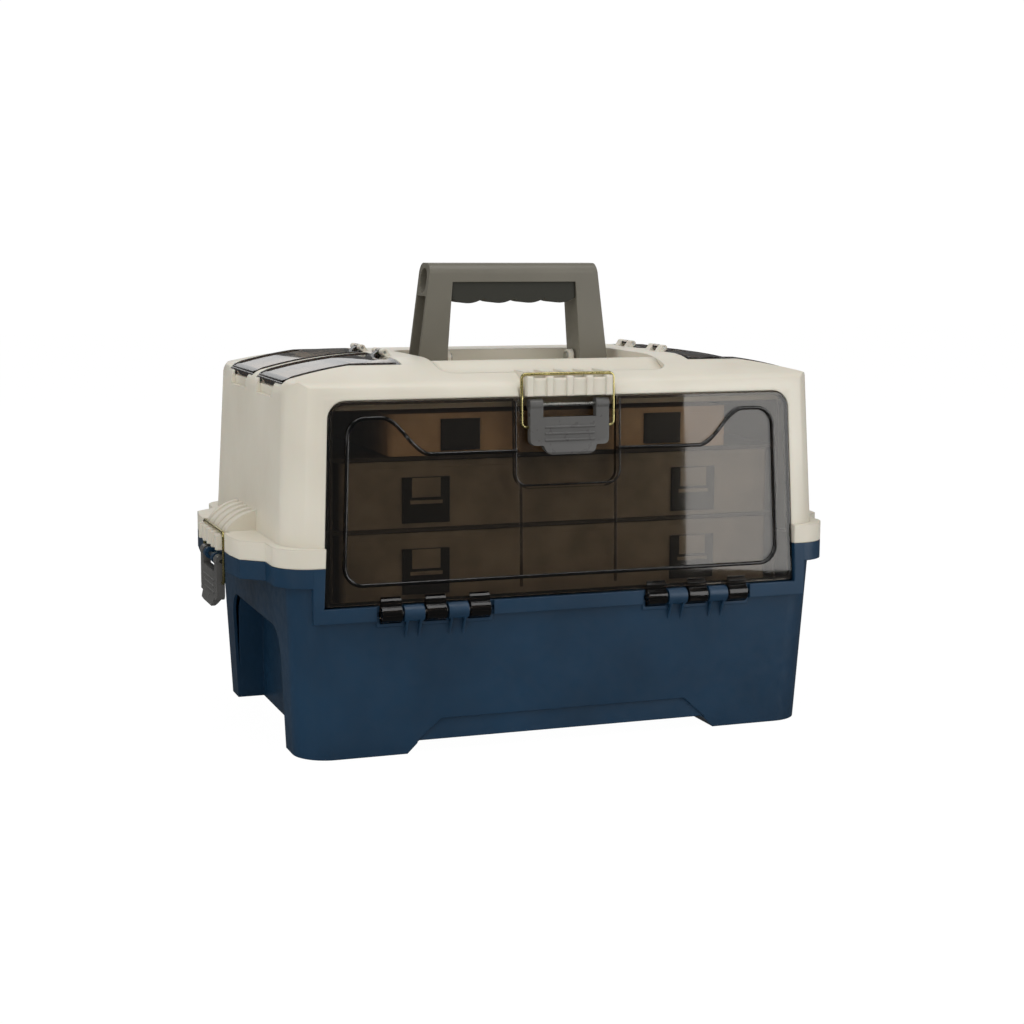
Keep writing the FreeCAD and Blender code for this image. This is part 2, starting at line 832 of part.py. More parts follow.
def base_latch_lugs(tub):
    """Two lugs at each end that carry the pin of a side latch."""
    for side in SIDES:
        x = SIDE_PIVOT_X * side
        root_x = (BAY_X - d.rim_skin) * side
        r = d.latch_top_radius
        low = d.side_latch_height - r
        high = d.side_latch_height + r
        tip = x + r * side
        middle_z = d.side_latch_height
        if side > 0:
            loop = [(root_x, low), (x, low), (tip, middle_z, r, 1), (x, high, r, 1), (root_x, high)]
        else:
            loop = [(x, low, r, 1), (root_x, low), (root_x, high), (x, high), (tip, middle_z, r, 1)]
        for place in (d.latch_lug_inner, -d.latch_lug_inner - d.latch_lug_width):
            depth_pad(tub, loop, place, place + d.latch_lug_width)
        bore = ("circle", x, d.side_latch_height, d.latch_pin_radius + d.pin_clearance)
        depth_cut(tub, [bore], -d.latch_half_width, d.latch_half_width)


# Lid housing: domed top, hollow inside, door opening, handle well, four compartments, catches

def dome(start, big, small, wall):
    """Two tangent arcs from the flat top down to the upright wall: where they meet and where they end."""
    lean = (wall - small - start) / (big - small)
    rise = root(1 - lean * lean)
    centre = d.top_height - big
    return (start + big * lean, centre + big * rise), (wall, centre + (big - small) * rise)


def above_dome(start, big, small, wall, drop=0.0, reach=None):
    """The region outside the domed profile, as one outline, lowered by a drop."""
    meet, end = dome(start, big, small, wall)
    far = wall + d.overrun
    high = d.top_height + d.overrun
    return [
        (-far, end[1] - drop),
        (-wall, end[1] - drop),
        (-meet[0], meet[1] - drop, small, -1),
        (-start, d.top_height - drop, big, -1),
        (start, d.top_height - drop),
        (meet[0], meet[1] - drop, big, -1),
        (wall, end[1] - drop, small, -1),
        (far, end[1] - drop),
        (far, high),
        (-far, high),
    ]


WALL_Y = d.lid_half_depth - (d.edge_height - LID_LOW) * LID_SLOPE
WALL_X = d.lid_half_length - (d.edge_height - LID_LOW) * LID_SLOPE


def shape_top(piece, drop=0.0):
    """Cuts a block to the lid's domed top, lowered by a drop."""
    shoulder = above_dome(d.shoulder_start, d.shoulder_radius, d.front_edge_radius, WALL_Y, drop)
    piece.pocket("YZ_Plane", shoulder, 3 * d.lid_half_length, middle=True)
    crown = above_dome(d.crown_start, d.crown_radius, d.end_edge_radius, WALL_X, drop)
    piece.pocket("XZ_Plane", crown, 3 * d.lid_half_depth, middle=True)


def lid_shell():
    lid = Piece("lid_shell")
    lid.wedge(d.lid_half_length, d.lid_half_depth, LID_LOW, d.top_height, -LID_SLOPE)
    lid.round(d.lid_corner_radius, upright)
    shape_top(lid)
    lid.pad("XY_Plane", rim_outline(), d.rim_rise, level=LID_LOW)
    inside = Piece("lid_inside")
    below = LID_LOW - d.lid_wall
    inside.wedge(d.lid_half_length - d.lid_wall + d.lid_wall * LID_SLOPE,
                 d.lid_half_depth - d.lid_wall + d.lid_wall * LID_SLOPE, below, d.ceiling_height, -LID_SLOPE)
    inside.round(d.lid_corner_radius - d.lid_wall, upright)
    lid.core_done = True
    lid.hollow(inside)
    skirt_in = d.lid_half_length + d.rim_skin
    far = BAY_X - d.rim_skin
    for side in SIDES:
        loop = rect(skirt_in, -d.plate_half_width, far, d.plate_half_width)
        if side < 0:
            loop = rect(-far, -d.plate_half_width, -skirt_in, d.plate_half_width)
        lid.pocket("XY_Plane", loop, d.rim_rise - d.rim_skin, level=LID_LOW, back=True)
    high = d.hinge_height + DOOR_TOP * d.door_lean.cos() + d.door_gap
    door = opening_outline(d.door_gap, LID_LOW - d.overrun, high, 0.0)
    depth_cut(lid, door, -d.rim_half_depth - d.overrun, -d.rim_half_depth + 8 * d.lid_wall)
    # grooves for the legs of the front wire
    for side in SIDES:
        place = d.bail_half_width * side
        half = 1.6 * d.bail_radius
        groove = rect(place - half, d.ceiling_height, place + half, d.top_height)
        depth_cut(lid, groove, -d.rim_half_depth - d.overrun, FRONT_WIRE_Y + 2.2 * d.bail_radius)
    # hollows behind the front and rear shoulders, under the well, then the well itself
    high = d.well_floor - d.ceiling_skin - d.ceiling_height
    for way in SIDES:
        far = d.shoulder_start + (d.rear_hollow_length if way > 0 else d.front_hollow_length)
        low = d.hatch_far + d.tub_floor_skin
        loop = rect(-d.hatch_outer + d.tub_floor_skin, low, d.hatch_outer - d.tub_floor_skin, far)
        if way < 0:
            loop = rect(-d.hatch_outer + d.tub_floor_skin, -far, d.hatch_outer - d.tub_floor_skin, -low)
        lid.pocket("XY_Plane", loop, high / 2, level=d.ceiling_height, back=True)
    middle_half = d.hatch_inner - d.lid_wall
    lid.pocket("XY_Plane", rect(-middle_half, -d.well_front, middle_half, d.well_front), high,
               level=d.ceiling_height, back=True)
    centre = (d.well_back - d.well_front) / 2
    lid.pocket("XY_Plane", rounded(d.well_half_length, (d.well_back + d.well_front) / 2,
                                   d.well_corner_radius, y=centre),
               d.overrun + d.top_height - d.well_floor, level=d.top_height + d.overrun)
    compartments(lid)
    lid.later = True
    handle_lugs(lid)
    front_catch(lid)
    side_catches(lid)
    lid_rear_hinge(lid)
    lid_hatch_hinges(lid)
    return lid.finish()


def compartments(lid):
    """Seats for the four top lids, the compartments below them and a finger notch at each outer end."""
    drop = d.hatch_skin + d.hatch_ledge - d.hatch_gap
    meet, end = dome(d.crown_start, d.crown_radius, d.end_edge_radius, WALL_X)
    bottom = meet[1] - drop
    for side in SIDES:
        outer = d.hatch_outer * side
        inner = d.hatch_inner * side
        for way in SIDES:
            low = d.hatch_near if way > 0 else -d.hatch_far
            high = d.hatch_far if way > 0 else -d.hatch_near
            seat = seat_outline(drop, side)
            depth_cut(lid, seat, low, high)
            x_low = d.hatch_inner + d.hatch_ledge if side > 0 else -d.hatch_outer + d.hatch_ledge
            x_high = d.hatch_outer - d.hatch_ledge if side > 0 else -d.hatch_inner - d.hatch_ledge
            floor = d.ceiling_height + d.tub_floor_skin
            lid.pocket("XY_Plane", rect(x_low, low + d.hatch_ledge, x_high, high - d.hatch_ledge),
                       d.top_height - floor, level=d.top_height)
            n_low = d.notch_near if way > 0 else -d.notch_far
            n_high = d.notch_far if way > 0 else -d.notch_near
            x_low = d.hatch_outer - d.hatch_gap if side > 0 else -d.hatch_outer - d.overrun
            x_high = d.hatch_outer + d.overrun if side > 0 else -d.hatch_outer + d.hatch_gap
            lid.pocket("XY_Plane", rect(x_low, n_low, x_high, n_high),
                       d.top_height - d.notch_height, level=d.top_height)


def seat_outline(drop, side):
    """The room a top lid takes, from its sloping ledge up past the crown."""
    meet, end = dome(d.crown_start, d.crown_radius, d.end_edge_radius, WALL_X)
    high = d.top_height + d.overrun
    tail = (meet[1] - end[1]) / 2
    points = [
        (d.hatch_inner, d.top_height - drop),
        (d.hatch_outer, meet[1] - drop - tail / 3, d.crown_radius, -1),
        (d.hatch_outer, high),
        (d.hatch_inner, high),
    ]
    if side > 0:
        return points
    return [
        (-d.hatch_outer, meet[1] - drop - tail / 3),
        (-d.hatch_inner, d.top_height - drop, d.crown_radius, -1),
        (-d.hatch_inner, high),
        (-d.hatch_outer, high),
    ]


def handle_lugs(lid):
    """Two ears in the well that carry the handle's pins."""
    r = d.handle_lug_width + 1.2 * d.handle_gap
    outline = [
        (-r, d.well_floor - d.ceiling_skin / 2),
        (r, d.well_floor - d.ceiling_skin / 2),
        (r, d.handle_pivot_height),
        (0.0, d.handle_pivot_height + r, r, 1),
        (-r, d.handle_pivot_height, r, 1),
    ]
    bore = ("circle", 0.0, d.handle_pivot_height, d.handle_pin_radius + d.pin_clearance)
    start = d.handle_inner_low - d.handle_gap - d.handle_lug_width
    for side in SIDES:
        cross_bar(lid, outline, start, d.handle_lug_width, side)
        cross_cut(lid, [bore], start - d.bore_overcut, d.handle_lug_width + 2 * d.bore_overcut, side)


# Latch geometry shared by the front and side latches

WIRE_UP = d.bail_rise
SHELF_DROP = d.bail_radius + 0.2 * d.bail_radius
FRONT_PIVOT_Y = -d.hinge_depth + (d.front_latch_height - d.hinge_height) * LEAN - d.latch_stand / LEAN_COS
FRONT_WIRE_Y = FRONT_PIVOT_Y + d.bail_pivot_back * LEAN_COS + d.bail_rise * LEAN_SIN
FRONT_WIRE_Z = d.front_latch_height - d.bail_pivot_back * LEAN_SIN + d.bail_rise * LEAN_COS
FRONT_HOOK_Y = FRONT_PIVOT_Y + d.bail_pivot_back * LEAN_COS - d.bail_pivot_drop * LEAN_SIN
FRONT_HOOK_Z = d.front_latch_height - d.bail_pivot_back * LEAN_SIN - d.bail_pivot_drop * LEAN_COS
SIDE_WIRE_X = SIDE_PIVOT_X - d.bail_pivot_back
SIDE_WIRE_Z = d.side_latch_height + d.bail_rise
RIB_COUNT = 5


def rib_places():
    """The left edge of each rib of a catch."""
    step = (2 * d.catch_half_width - d.catch_rib_width) / (RIB_COUNT - 1)
    return [-d.catch_half_width + step * i for i in range(RIB_COUNT)]


def front_catch_outline(inset):
    front = FRONT_PIVOT_Y - d.catch_front + inset
    shelf = FRONT_WIRE_Z - SHELF_DROP - inset
    low = d.front_latch_height + d.catch_low
    top = d.front_latch_height + d.catch_high - inset
    back = -d.shoulder_start - d.catch_root_length
    soft = d.catch_edge_radius / 2
    return [
        (front, low),
        (-WALL_Y + 3 * d.catch_edge_radius, low),
        (back, top - 2 * d.catch_edge_radius),
        (back, top),
        (FRONT_WIRE_Y + 2 * d.bail_radius, top),
        (FRONT_WIRE_Y + 1.4 * d.bail_radius, shelf),
        (front + soft, shelf),
        (front, shelf - soft, soft, 1),
    ]


def front_catch(lid):
    """The ribbed ledge on the lid that the front wire lies on."""
    width = 2 * d.catch_half_width
    lid.pad("YZ_Plane", front_catch_outline(d.catch_panel_depth), width, level=-d.catch_half_width)
    for place in rib_places():
        lid.pad("YZ_Plane", front_catch_outline(Size.of(0.0)), d.catch_rib_width, level=place)


def side_catch_outline(inset, side):
    front = SIDE_PIVOT_X + d.catch_front - inset
    shelf = SIDE_WIRE_Z - SHELF_DROP - inset
    low = LID_LOW
    wall = d.lid_half_length - (d.side_catch_top - LID_LOW) * LID_SLOPE
    back = SIDE_WIRE_X - 2 * d.bail_radius
    soft = d.catch_edge_radius / 2
    top = d.side_catch_top - inset
    floor = RIM_TOP - d.rim_skin / 2
    skin = BAY_X - d.rim_skin / 2
    points = [
        (skin, low),
        (front, low),
        (front, shelf - soft),
        (front - soft, shelf, soft, 1),
        (SIDE_WIRE_X - 1.4 * d.bail_radius, shelf),
        (back, shelf + 2 * d.bail_radius),
        (wall - d.catch_bury, top, d.side_catch_radius, 1),
        (wall - d.catch_bury, floor),
        (skin, floor),
    ]
    return points if side > 0 else flipped(points)


def side_catches(lid):
    for side in SIDES:
        depth_pad(lid, side_catch_outline(d.catch_panel_depth, side), -d.catch_half_width, d.catch_half_width)
        for place in rib_places():
            depth_pad(lid, side_catch_outline(Size.of(0.0), side), place, place + d.catch_rib_width)


def lid_rear_hinge(lid):
    barrel = ("circle", d.rear_hinge_depth, d.split_height, d.rear_knuckle_radius)
    bore = ("circle", d.rear_hinge_depth, d.split_height, d.hinge_pin_radius + d.pin_clearance)
    arm = [
        (d.rim_half_depth - d.rim_skin, LID_LOW),
        (d.rear_hinge_depth, LID_LOW),
        (d.rear_hinge_depth, d.split_height + d.rear_knuckle_radius),
        (d.rim_half_depth, d.split_height + 2 * d.rear_knuckle_radius),
        (d.rim_half_depth - d.rim_skin, d.split_height + 2 * d.rear_knuckle_radius),
    ]
    for side in SIDES:
        for start in rear_rows(1):
            cross_bar(lid, arm, start, d.rear_knuckle_width, side)
            cross_bar(lid, [barrel], start, d.rear_knuckle_width, side)
            cross_cut(lid, [bore], start - d.bore_overcut, d.rear_knuckle_width + 2 * d.bore_overcut, side)


# Smoke door, built upright about its hinge axis and then leaned back

def door_place(item):
    """Moves a piece built about the hinge axis to the leaning door."""
    return item.place(y=-d.hinge_depth, z=d.hinge_height, axis=Vector(-1, 0, 0), angle=d.door_lean)


def line_loop(inset):
    """The raised line on the door: straight sides and foot, dropping in a curve towards the latch bay."""
    side = d.door_half_width - d.door_line_inset - inset
    low = d.door_bottom + d.door_line_inset + inset
    high = DOOR_TOP - 0.8 * d.door_line_inset - inset
    dip = DOOR_TOP - 2.8 * d.door_line_inset - inset
    narrow = side - (high - low) * SIDE_LEAN
    bend = 2 * d.door_line_inset
    near_x = d.door_half_width * DIP_NEAR_SHARE
    far_x = d.door_half_width * DIP_FAR_SHARE
    big = 2.5 * bend
    mid_x = (near_x + far_x) / 2
    mid_z = (dip + high) / 2
    turn = bend / 2
    return [
        (-side + turn, low, turn, 1),
        (side - turn, low),
        (side - 0.1 * turn, low + turn, turn, 1),
        (narrow, high - turn),
        (narrow - turn, high, turn, 1),
        (far_x, high),
        (mid_x, mid_z, big * 0.8, 1),
        (near_x, dip, big, -1),
        (-near_x, dip),
        (-mid_x, mid_z, big, -1),
        (-far_x, high, big * 0.8, 1),
        (-narrow + turn, high),
        (-narrow, high - turn, turn, 1),
        (-side + 0.1 * turn, low + turn),
    ]


def door_loop(inset):
    wide = d.door_half_width - inset
    low = d.door_bottom + inset
    high = DOOR_TOP - inset
    narrow = wide - (high - low) * SIDE_LEAN
    radius = d.door_corner_radius - inset
    foot = d.door_corner_radius / 4
    return [
        (-wide + foot, low, foot, 1),
        (wide - foot, low),
        (wide, low + foot, foot, 1),
        (narrow + radius * SIDE_LEAN, high - radius),
        (narrow - radius, high, radius, 1),
        (-narrow + radius, high),
        (-narrow - radius * SIDE_LEAN, high - radius, radius, 1),
        (-wide, low + foot),
    ]


def bay_loop(grow):
    half = d.catch_half_width + d.catch_rib_width + grow
    low = d.door_bay_low - grow
    radius = d.door_bay_radius + grow
    return [
        (-half + radius, low, radius, 1),
        (half - radius, low),
        (half, low + radius, radius, 1),
        (half, DOOR_TOP + (d.overrun if grow.value == 0 else 0.0)),
        (-half, DOOR_TOP + (d.overrun if grow.value == 0 else 0.0)),
        (-half, low + radius),
    ]


def door_panel():
    door = Piece("door_panel")
    depth_pad(door, door_loop(Size.of(0.0)), Size.of(0.0), d.door_skirt_depth)
    depth_cut_inside(door, door_loop(d.door_skirt_skin), d.door_skin, d.door_skirt_depth)
    depth_pad(door, bay_loop(d.door_skin), d.door_skin / 2, d.door_bay_depth + d.door_skin)
    depth_cut(door, bay_loop(Size.of(0.0)), -d.overrun, d.door_bay_depth)
    door.core_done = True
    depth_cut(door, bay_loop(Size.of(0.0)), -d.overrun, d.door_bay_depth)
    drawing = [line_loop(Size.of(0.0)), line_loop(d.door_line_width)]
    depth_pad(door, drawing, -d.door_line_rise, d.door_skin / 2)
    for side in SIDES:
        place = d.door_rib_place if side > 0 else -d.door_rib_place - d.door_rib_width
        bar = rect(place, 2 * d.door_bottom, place + d.door_rib_width, d.door_bay_low + d.door_skin)
        depth_pad(door, bar, -d.door_line_rise, d.door_skin / 2)
    door_hinge(door)
    door_lugs(door)
    return door_place(door.finish())


def depth_cut_inside(piece, loops, low, high):
    """A cut from the back face forward to a place along Y."""
    return piece.pocket("XZ_Plane", loops, high - low + d.overrun, level=-low)


def door_hinge(door):
    barrel = ("circle", 0.0, 0.0, d.knuckle_radius)
    bore = ("circle", 0.0, 0.0, d.hinge_pin_radius + d.pin_clearance)
    r = d.knuckle_radius
    strap = [
        (-r * 0.45, 0.0),
        (d.door_skin, 0.0),
        (d.door_skin, 2 * r),
        (0.0, 2 * r),
        (-r * 0.45, r * 1.6),
    ]
    for side in SIDES:
        for start in hinge_rows(0):
            cross_bar(door, strap, start, d.knuckle_width, side)
            cross_bar(door, [barrel], start, d.knuckle_width, side)
        cross_cut(door, [bore], d.knuckle_start - d.overrun / 3, 5 * STEP + d.overrun / 2, side)


def door_lugs(door):
    """Two lugs in the bay that carry the front latch's pin."""
    r = d.latch_top_radius
    lugs = [
        (-d.latch_stand, PIVOT_UP - r),
        (d.door_bay_depth + d.door_skin / 2, PIVOT_UP - r),
        (d.door_bay_depth + d.door_skin / 2, PIVOT_UP + r),
        (-d.latch_stand, PIVOT_UP + r),
        (-d.latch_stand - r, PIVOT_UP, r, 1),
        (-d.latch_stand, PIVOT_UP - r, r, 1),
    ]
    lugs = lugs[1:]
    bore = ("circle", -d.latch_stand, PIVOT_UP, d.latch_pin_radius + d.pin_clearance)
    for side in SIDES:
        cross_bar(door, lugs, d.latch_lug_inner, d.latch_lug_width, side)
        low = d.latch_lug_inner - d.bore_overcut
        cross_cut(door, [bore], low, d.latch_lug_width + 2 * d.bore_overcut, side)


# Latch lever and wire bail, built about the lever's pin with the front towards negative Y

def latch_lever(label):
    lever = Piece(label)
    r = d.latch_top_radius
    front = -d.latch_front
    back = d.latch_back
    tip = -d.latch_tip_drop
    side_view = [
        (front, 0.0),
        (front, tip + 2 * r),
        (front - 0.5 * r, tip + 0.4 * r),
        (front - 0.3 * r, tip),
        (front + 0.2 * r, tip),
        (back, tip + 1.5 * r),
        (back, 0.0),
    ]
    lever.pad("YZ_Plane", side_view, 2 * d.latch_half_width, level=-d.latch_half_width)
    lever.pad("YZ_Plane", [("circle", 0.0, 0.0, r)], 2 * d.latch_half_width, level=-d.latch_half_width)
    lever.core_done = True
    half = d.latch_half_width
    body = -d.latch_body_drop
    tab = d.latch_tab_half_width
    soft = d.latch_top_radius
    low = tip - d.overrun
    far = half + d.overrun
    for side in SIDES:
        cut = [
            (tab - 1.6 * soft, low),
            (far, low),
            (far, body + soft),
            (half, body + soft),
            (half - soft, body, soft, -1),
            (tab + soft / 4, body),
            (tab, body - soft / 4, soft / 4, 1),
            (tab, tip + 1.6 * soft),
            (tab - 1.6 * soft, tip, 1.6 * soft, -1),
        ]
        lever.pocket("XZ_Plane", cut if side > 0 else flipped(cut), 4 * d.overrun, middle=True)
    slot = d.latch_slot_half_width
    lever.pocket("XZ_Plane", rect(-slot, -d.latch_slot_drop, slot, d.overrun), 4 * d.overrun, middle=True)
    hollow = rect(-tab + d.latch_back, tip + 1.8 * r, tab - d.latch_back, -d.latch_slot_drop - d.latch_back)
    depth_cut_inside(lever, hollow, front + d.latch_back, Size.of(r))
    grip = d.latch_tab_half_width * 0.94
    for share in (0.45, 0.58, 0.71):
        place = -d.latch_tip_drop * share
        ridge = ("circle", front + 0.1 * r, place, 0.24 * r)
        lever.pad("YZ_Plane", [ridge], 2 * grip, level=-grip)
    bore = ("circle", 0.0, 0.0, d.latch_pin_radius + d.pin_clearance)
    lever.pocket("YZ_Plane", [bore], 4 * d.overrun, middle=True)
    hook = ("circle", d.bail_pivot_back, -d.bail_pivot_drop, d.bail_radius + d.pin_clearance)
    for side in SIDES:
        cross_cut(lever, [hook], d.bail_half_width - d.bail_hook_length - d.pin_clearance,
                  d.bail_hook_length + d.overrun, side)
    return lever.finish()


def wire_bail(label):
    """Wire of eight flats bent to a loop over the catch, its ends hooked into the lever's sides."""
    bail = Piece(label)
    path = bail.sketch("XZ_Plane", 0.0)
    half = d.bail_half_width
    low = 0.0
    high = d.bail_pivot_drop + d.bail_rise
    turn = d.bail_corner_radius
    small = 2 * d.bail_radius
    end = half - d.bail_hook_length
    run = [
        (-end, 0.0, None),
        (-half + small, 0.0, None),
        (-half, small, (small, -1)),
        (-half, high - turn, None),
        (-half + turn, high, (turn, -1)),
        (half - turn, high, None),
        (half, high - turn, (turn, -1)),
        (half, small, None),
        (half - small, 0.0, (small, -1)),
        (end, 0.0, None),
    ]
    draw_path(path, run)
    ring = bail.sketch("YZ_Plane", -end)
    wide = d.bail_radius * OCTAGON_WIDE_SHARE
    narrow = d.bail_radius * OCTAGON_NARROW_SHARE
    eight = [(wide, narrow), (narrow, wide), (-narrow, wide), (-wide, narrow)]
    eight += [(-x, -y) for x, y in eight]
    draw(ring, [eight])
    pipe = bail.named("PartDesign::AdditivePipe")
    pipe.Profile = ring
    pipe.Spine = path
    pipe.Transition = "Right corner"
    refresh(path, ring, pipe, bail.body)
    return bail


def draw_path(drawing, run):
    """An open run of lines and arcs bound to the sheet."""
    places = [(Size.of(p[0]), Size.of(p[1])) for p in run]
    last = None
    for i in range(len(run) - 1):
        start = Vector(places[i][0].value, places[i][1].value, 0)
        stop = Vector(places[i + 1][0].value, places[i + 1][1].value, 0)
        bend = run[i + 1][2]
        if bend is None:
            item, first, after = drawing.addGeometry(Part.LineSegment(start, stop), False), 1, 2
        else:
            radius = Size.of(bend[0])
            chord = stop - start
            rise = math.sqrt(max(radius.value ** 2 - (chord.Length / 2) ** 2, 0.0))
            centre = (start + stop) * 0.5 + Vector(-chord.y, chord.x, 0) / chord.Length * rise * bend[1]
            turn = [math.atan2(p.y - centre.y, p.x - centre.x) for p in (start, stop)]
            ring = Part.Circle(centre, Vector(0, 0, 1), radius.value)
            if bend[1] > 0:
                item = drawing.addGeometry(Part.ArcOfCircle(ring, turn[0], turn[1]), False)
                first, after = 1, 2
            else:
                item = drawing.addGeometry(Part.ArcOfCircle(ring, turn[1], turn[0]), False)
                first, after = 2, 1
            bind(drawing, Sketcher.Constraint("Radius", item, radius.value), radius)
        if last is not None:
            drawing.addConstraint(Sketcher.Constraint("Coincident", last[0], last[1], item, first))
        bind(drawing, Sketcher.Constraint("DistanceX", -1, 1, item, first, start.x), places[i][0])
        bind(drawing, Sketcher.Constraint("DistanceY", -1, 1, item, first, start.y), places[i][1])
        last = (item, after)
    bind(drawing, Sketcher.Constraint("DistanceX", -1, 1, last[0], last[1], stop.x), places[-1][0])
    bind(drawing, Sketcher.Constraint("DistanceY", -1, 1, last[0], last[1], stop.y), places[-1][1])


# Carrying handle

def handle_frame():
    frame = Piece("handle_frame")
    low = d.handle_pivot_height - d.handle_depth / 2
    rise = d.handle_top - d.top_height
    lean = (d.handle_half_width_low - d.handle_half_width_high) / rise
    inner_lean = (d.handle_inner_low - d.handle_inner_high) / (d.handle_bar_low - d.top_height)
    drop = d.top_height - low
    out_low = d.handle_half_width_low + drop * lean
    in_low = d.handle_inner_low + drop * inner_lean * 0.0
    bar = d.handle_bar_low
    hoop = [
        (-out_low, low),
        (-in_low, low),
        (-in_low, d.top_height),
        (-d.handle_inner_high, bar),
        (d.handle_inner_high, bar),
        (in_low, d.top_height),
        (in_low, low),
        (out_low, low),
        (d.handle_half_width_high, d.handle_top),
        (-d.handle_half_width_high, d.handle_top),
    ]
    half = d.handle_depth / 2
    depth_pad(frame, hoop, -half, half)
    reach = d.handle_half_width_low + d.overrun
    foot = [
        (-reach, low - d.overrun),
        (reach, low - d.overrun),
        (reach, d.handle_pivot_height),
        (half, d.handle_pivot_height),
        (0.0, low, half, -1),
        (-half, d.handle_pivot_height, half, -1),
        (-reach, d.handle_pivot_height),
    ]
    frame.pocket("YZ_Plane", foot, 2 * reach, middle=True)
    frame.round(d.handle_round_radius * 0.7, lambda e: straight(e) and abs(direction(e).x) > 0.99
                and middle(e).z > d.handle_top.value - EDGE_SLACK)
    skin = d.handle_skin
    frame.core_done = True
    for side in SIDES:
        web_low = (in_low + skin) * side
        web_high = (d.handle_inner_high + skin) * side
        seam = d.grip_low + skin
        channel = [
            (web_low, low - d.handle_web_overlap),
            (reach * side, low - d.handle_web_overlap),
            (reach * side, seam),
            (web_high, seam),
            (web_low, d.top_height),
        ]
        if side < 0:
            channel = list(reversed(channel))
        depth = d.handle_depth - 2 * skin
        frame.pocket("XZ_Plane", channel, depth, middle=True)
        hole = rounded(d.handle_depth * 0.3, d.handle_depth * 0.36, d.handle_depth * 0.29,
                       y=d.handle_bar_low + d.grip_wave_rise)
        cross_cut(frame, hole, d.handle_inner_high + skin, d.overrun, side)
    bore = ("circle", 0.0, d.handle_pivot_height, d.handle_pin_radius + d.pin_clearance)
    frame.pocket("YZ_Plane", [bore], 2 * reach, middle=True)
    return frame.finish()


def handle_grip():
    grip = Piece("handle_grip")
    high = d.handle_bar_low - d.grip_gap
    half = d.handle_inner_high - d.grip_gap
    low = d.grip_low
    count = 4
    pitch = 2 * (half - d.grip_gap) / count
    bump = pitch * 0.9
    points = [(half, high), (-half, high), (-half, low + d.grip_wave_rise)]
    for i in range(count):
        start = -half + d.grip_gap + pitch * i
        points.append((start + d.grip_gap, low + d.grip_wave_rise))
        points.append((start + pitch - d.grip_gap, low + d.grip_wave_rise, bump, 1))
    points.append((half, low + d.grip_wave_rise))
    points = points[:3] + points[4:-1]
    points.append((half, low + d.grip_wave_rise))
    deep = d.grip_depth / 2
    depth_pad(grip, clean(points), -deep, deep)
    return grip


def clean(points):
    """Drops a point that falls on the one before it."""
    kept = []
    for point in points:
        here = (Size.of(point[0]).value, Size.of(point[1]).value)
        if kept:
            last = (Size.of(kept[-1][0]).value, Size.of(kept[-1][1]).value)
            if abs(here[0] - last[0]) + abs(here[1] - last[1]) < TOUCH:
                continue
        kept.append(point)
    return kept


# Top lids over the compartments

def hatch_hinge(piece, side, way, rows, arm):
    """Small knuckles along the inner end of a top lid."""
    x = d.hatch_inner * side
    z = d.top_height + d.hatch_axis_rise
    r = d.hatch_knuckle_radius
    step = d.hatch_knuckle_width + d.hatch_gap
    outline = [(x + px * side, pz) for px, pz in arm]
    if side < 0:
        outline = list(reversed(outline))
    for row in rows:
        start = d.hatch_knuckle_start + row * step
        low = start if way > 0 else -start - d.hatch_knuckle_width
        depth_pad(piece, outline, low, low + d.hatch_knuckle_width)
        depth_pad(piece, [("circle", x, z, r)], low, low + d.hatch_knuckle_width)
        bore = ("circle", x, z, d.hatch_pin_radius + d.pin_clearance)
        depth_cut(piece, [bore], low - d.bore_overcut, low + d.hatch_knuckle_width + d.bore_overcut)


def lid_hatch_hinges(lid):
    z = d.top_height + d.hatch_axis_rise
    r = d.hatch_knuckle_radius
    arm = [
        (-2.0 * r, d.top_height - r),
        (0.0, d.top_height - r),
        (0.0, z + 0.4 * r),
        (-0.8 * r, z + 0.4 * r),
        (-2.0 * r, d.top_height),
    ]
    for side in SIDES:
        for way in SIDES:
            hatch_hinge(lid, side, way, (0, 2), arm)


def hatch(name, side, way):
    """A shallow lid that follows the crown: outer block less the same block inset and lowered."""
    shell = Piece("hatch_block_" + name)
    core = Piece("hatch_core_" + name)
    gap = d.hatch_gap
    low = d.hatch_near + gap if way > 0 else -d.hatch_far + gap
    high = d.hatch_far - gap if way > 0 else -d.hatch_near - gap
    x_low = d.hatch_inner + gap if side > 0 else -d.hatch_outer + gap
    x_high = d.hatch_outer - gap if side > 0 else -d.hatch_inner - gap
    tall = d.top_height - d.ceiling_height
    shell.pad("XY_Plane", rect(x_low, low, x_high, high), tall, level=d.ceiling_height)
    shape_top(shell)
    under = under_crown(d.hatch_skin + d.hatch_ledge - 2 * gap)
    shell.pocket("XZ_Plane", under, 3 * d.lid_half_depth, middle=True)
    shell.core_done = True
    z = d.top_height + d.hatch_axis_rise
    r = d.hatch_knuckle_radius
    arm = [
        (0.0, z - r),
        (gap, d.top_height - d.hatch_skin),
        (3 * r, d.top_height - d.hatch_skin),
        (2.2 * r, z - 0.6 * r),
        (0.8 * r, z + 0.4 * r),
        (0.0, z + 0.4 * r),
    ]
    hatch_hinge(shell, side, way, (1,), arm)
    skin = d.hatch_skin
    core.pad("XY_Plane", rect(x_low + skin, low + skin, x_high - skin, high - skin), tall,
             level=d.ceiling_height)
    shape_top(core, skin)
    item = DOC.addObject("Part::Cut", name)
    item.Label = name
    item.Base = shell.finish("hatch_block_" + name).result
    item.Tool = core.body
    refresh(core.body, item)
    return item


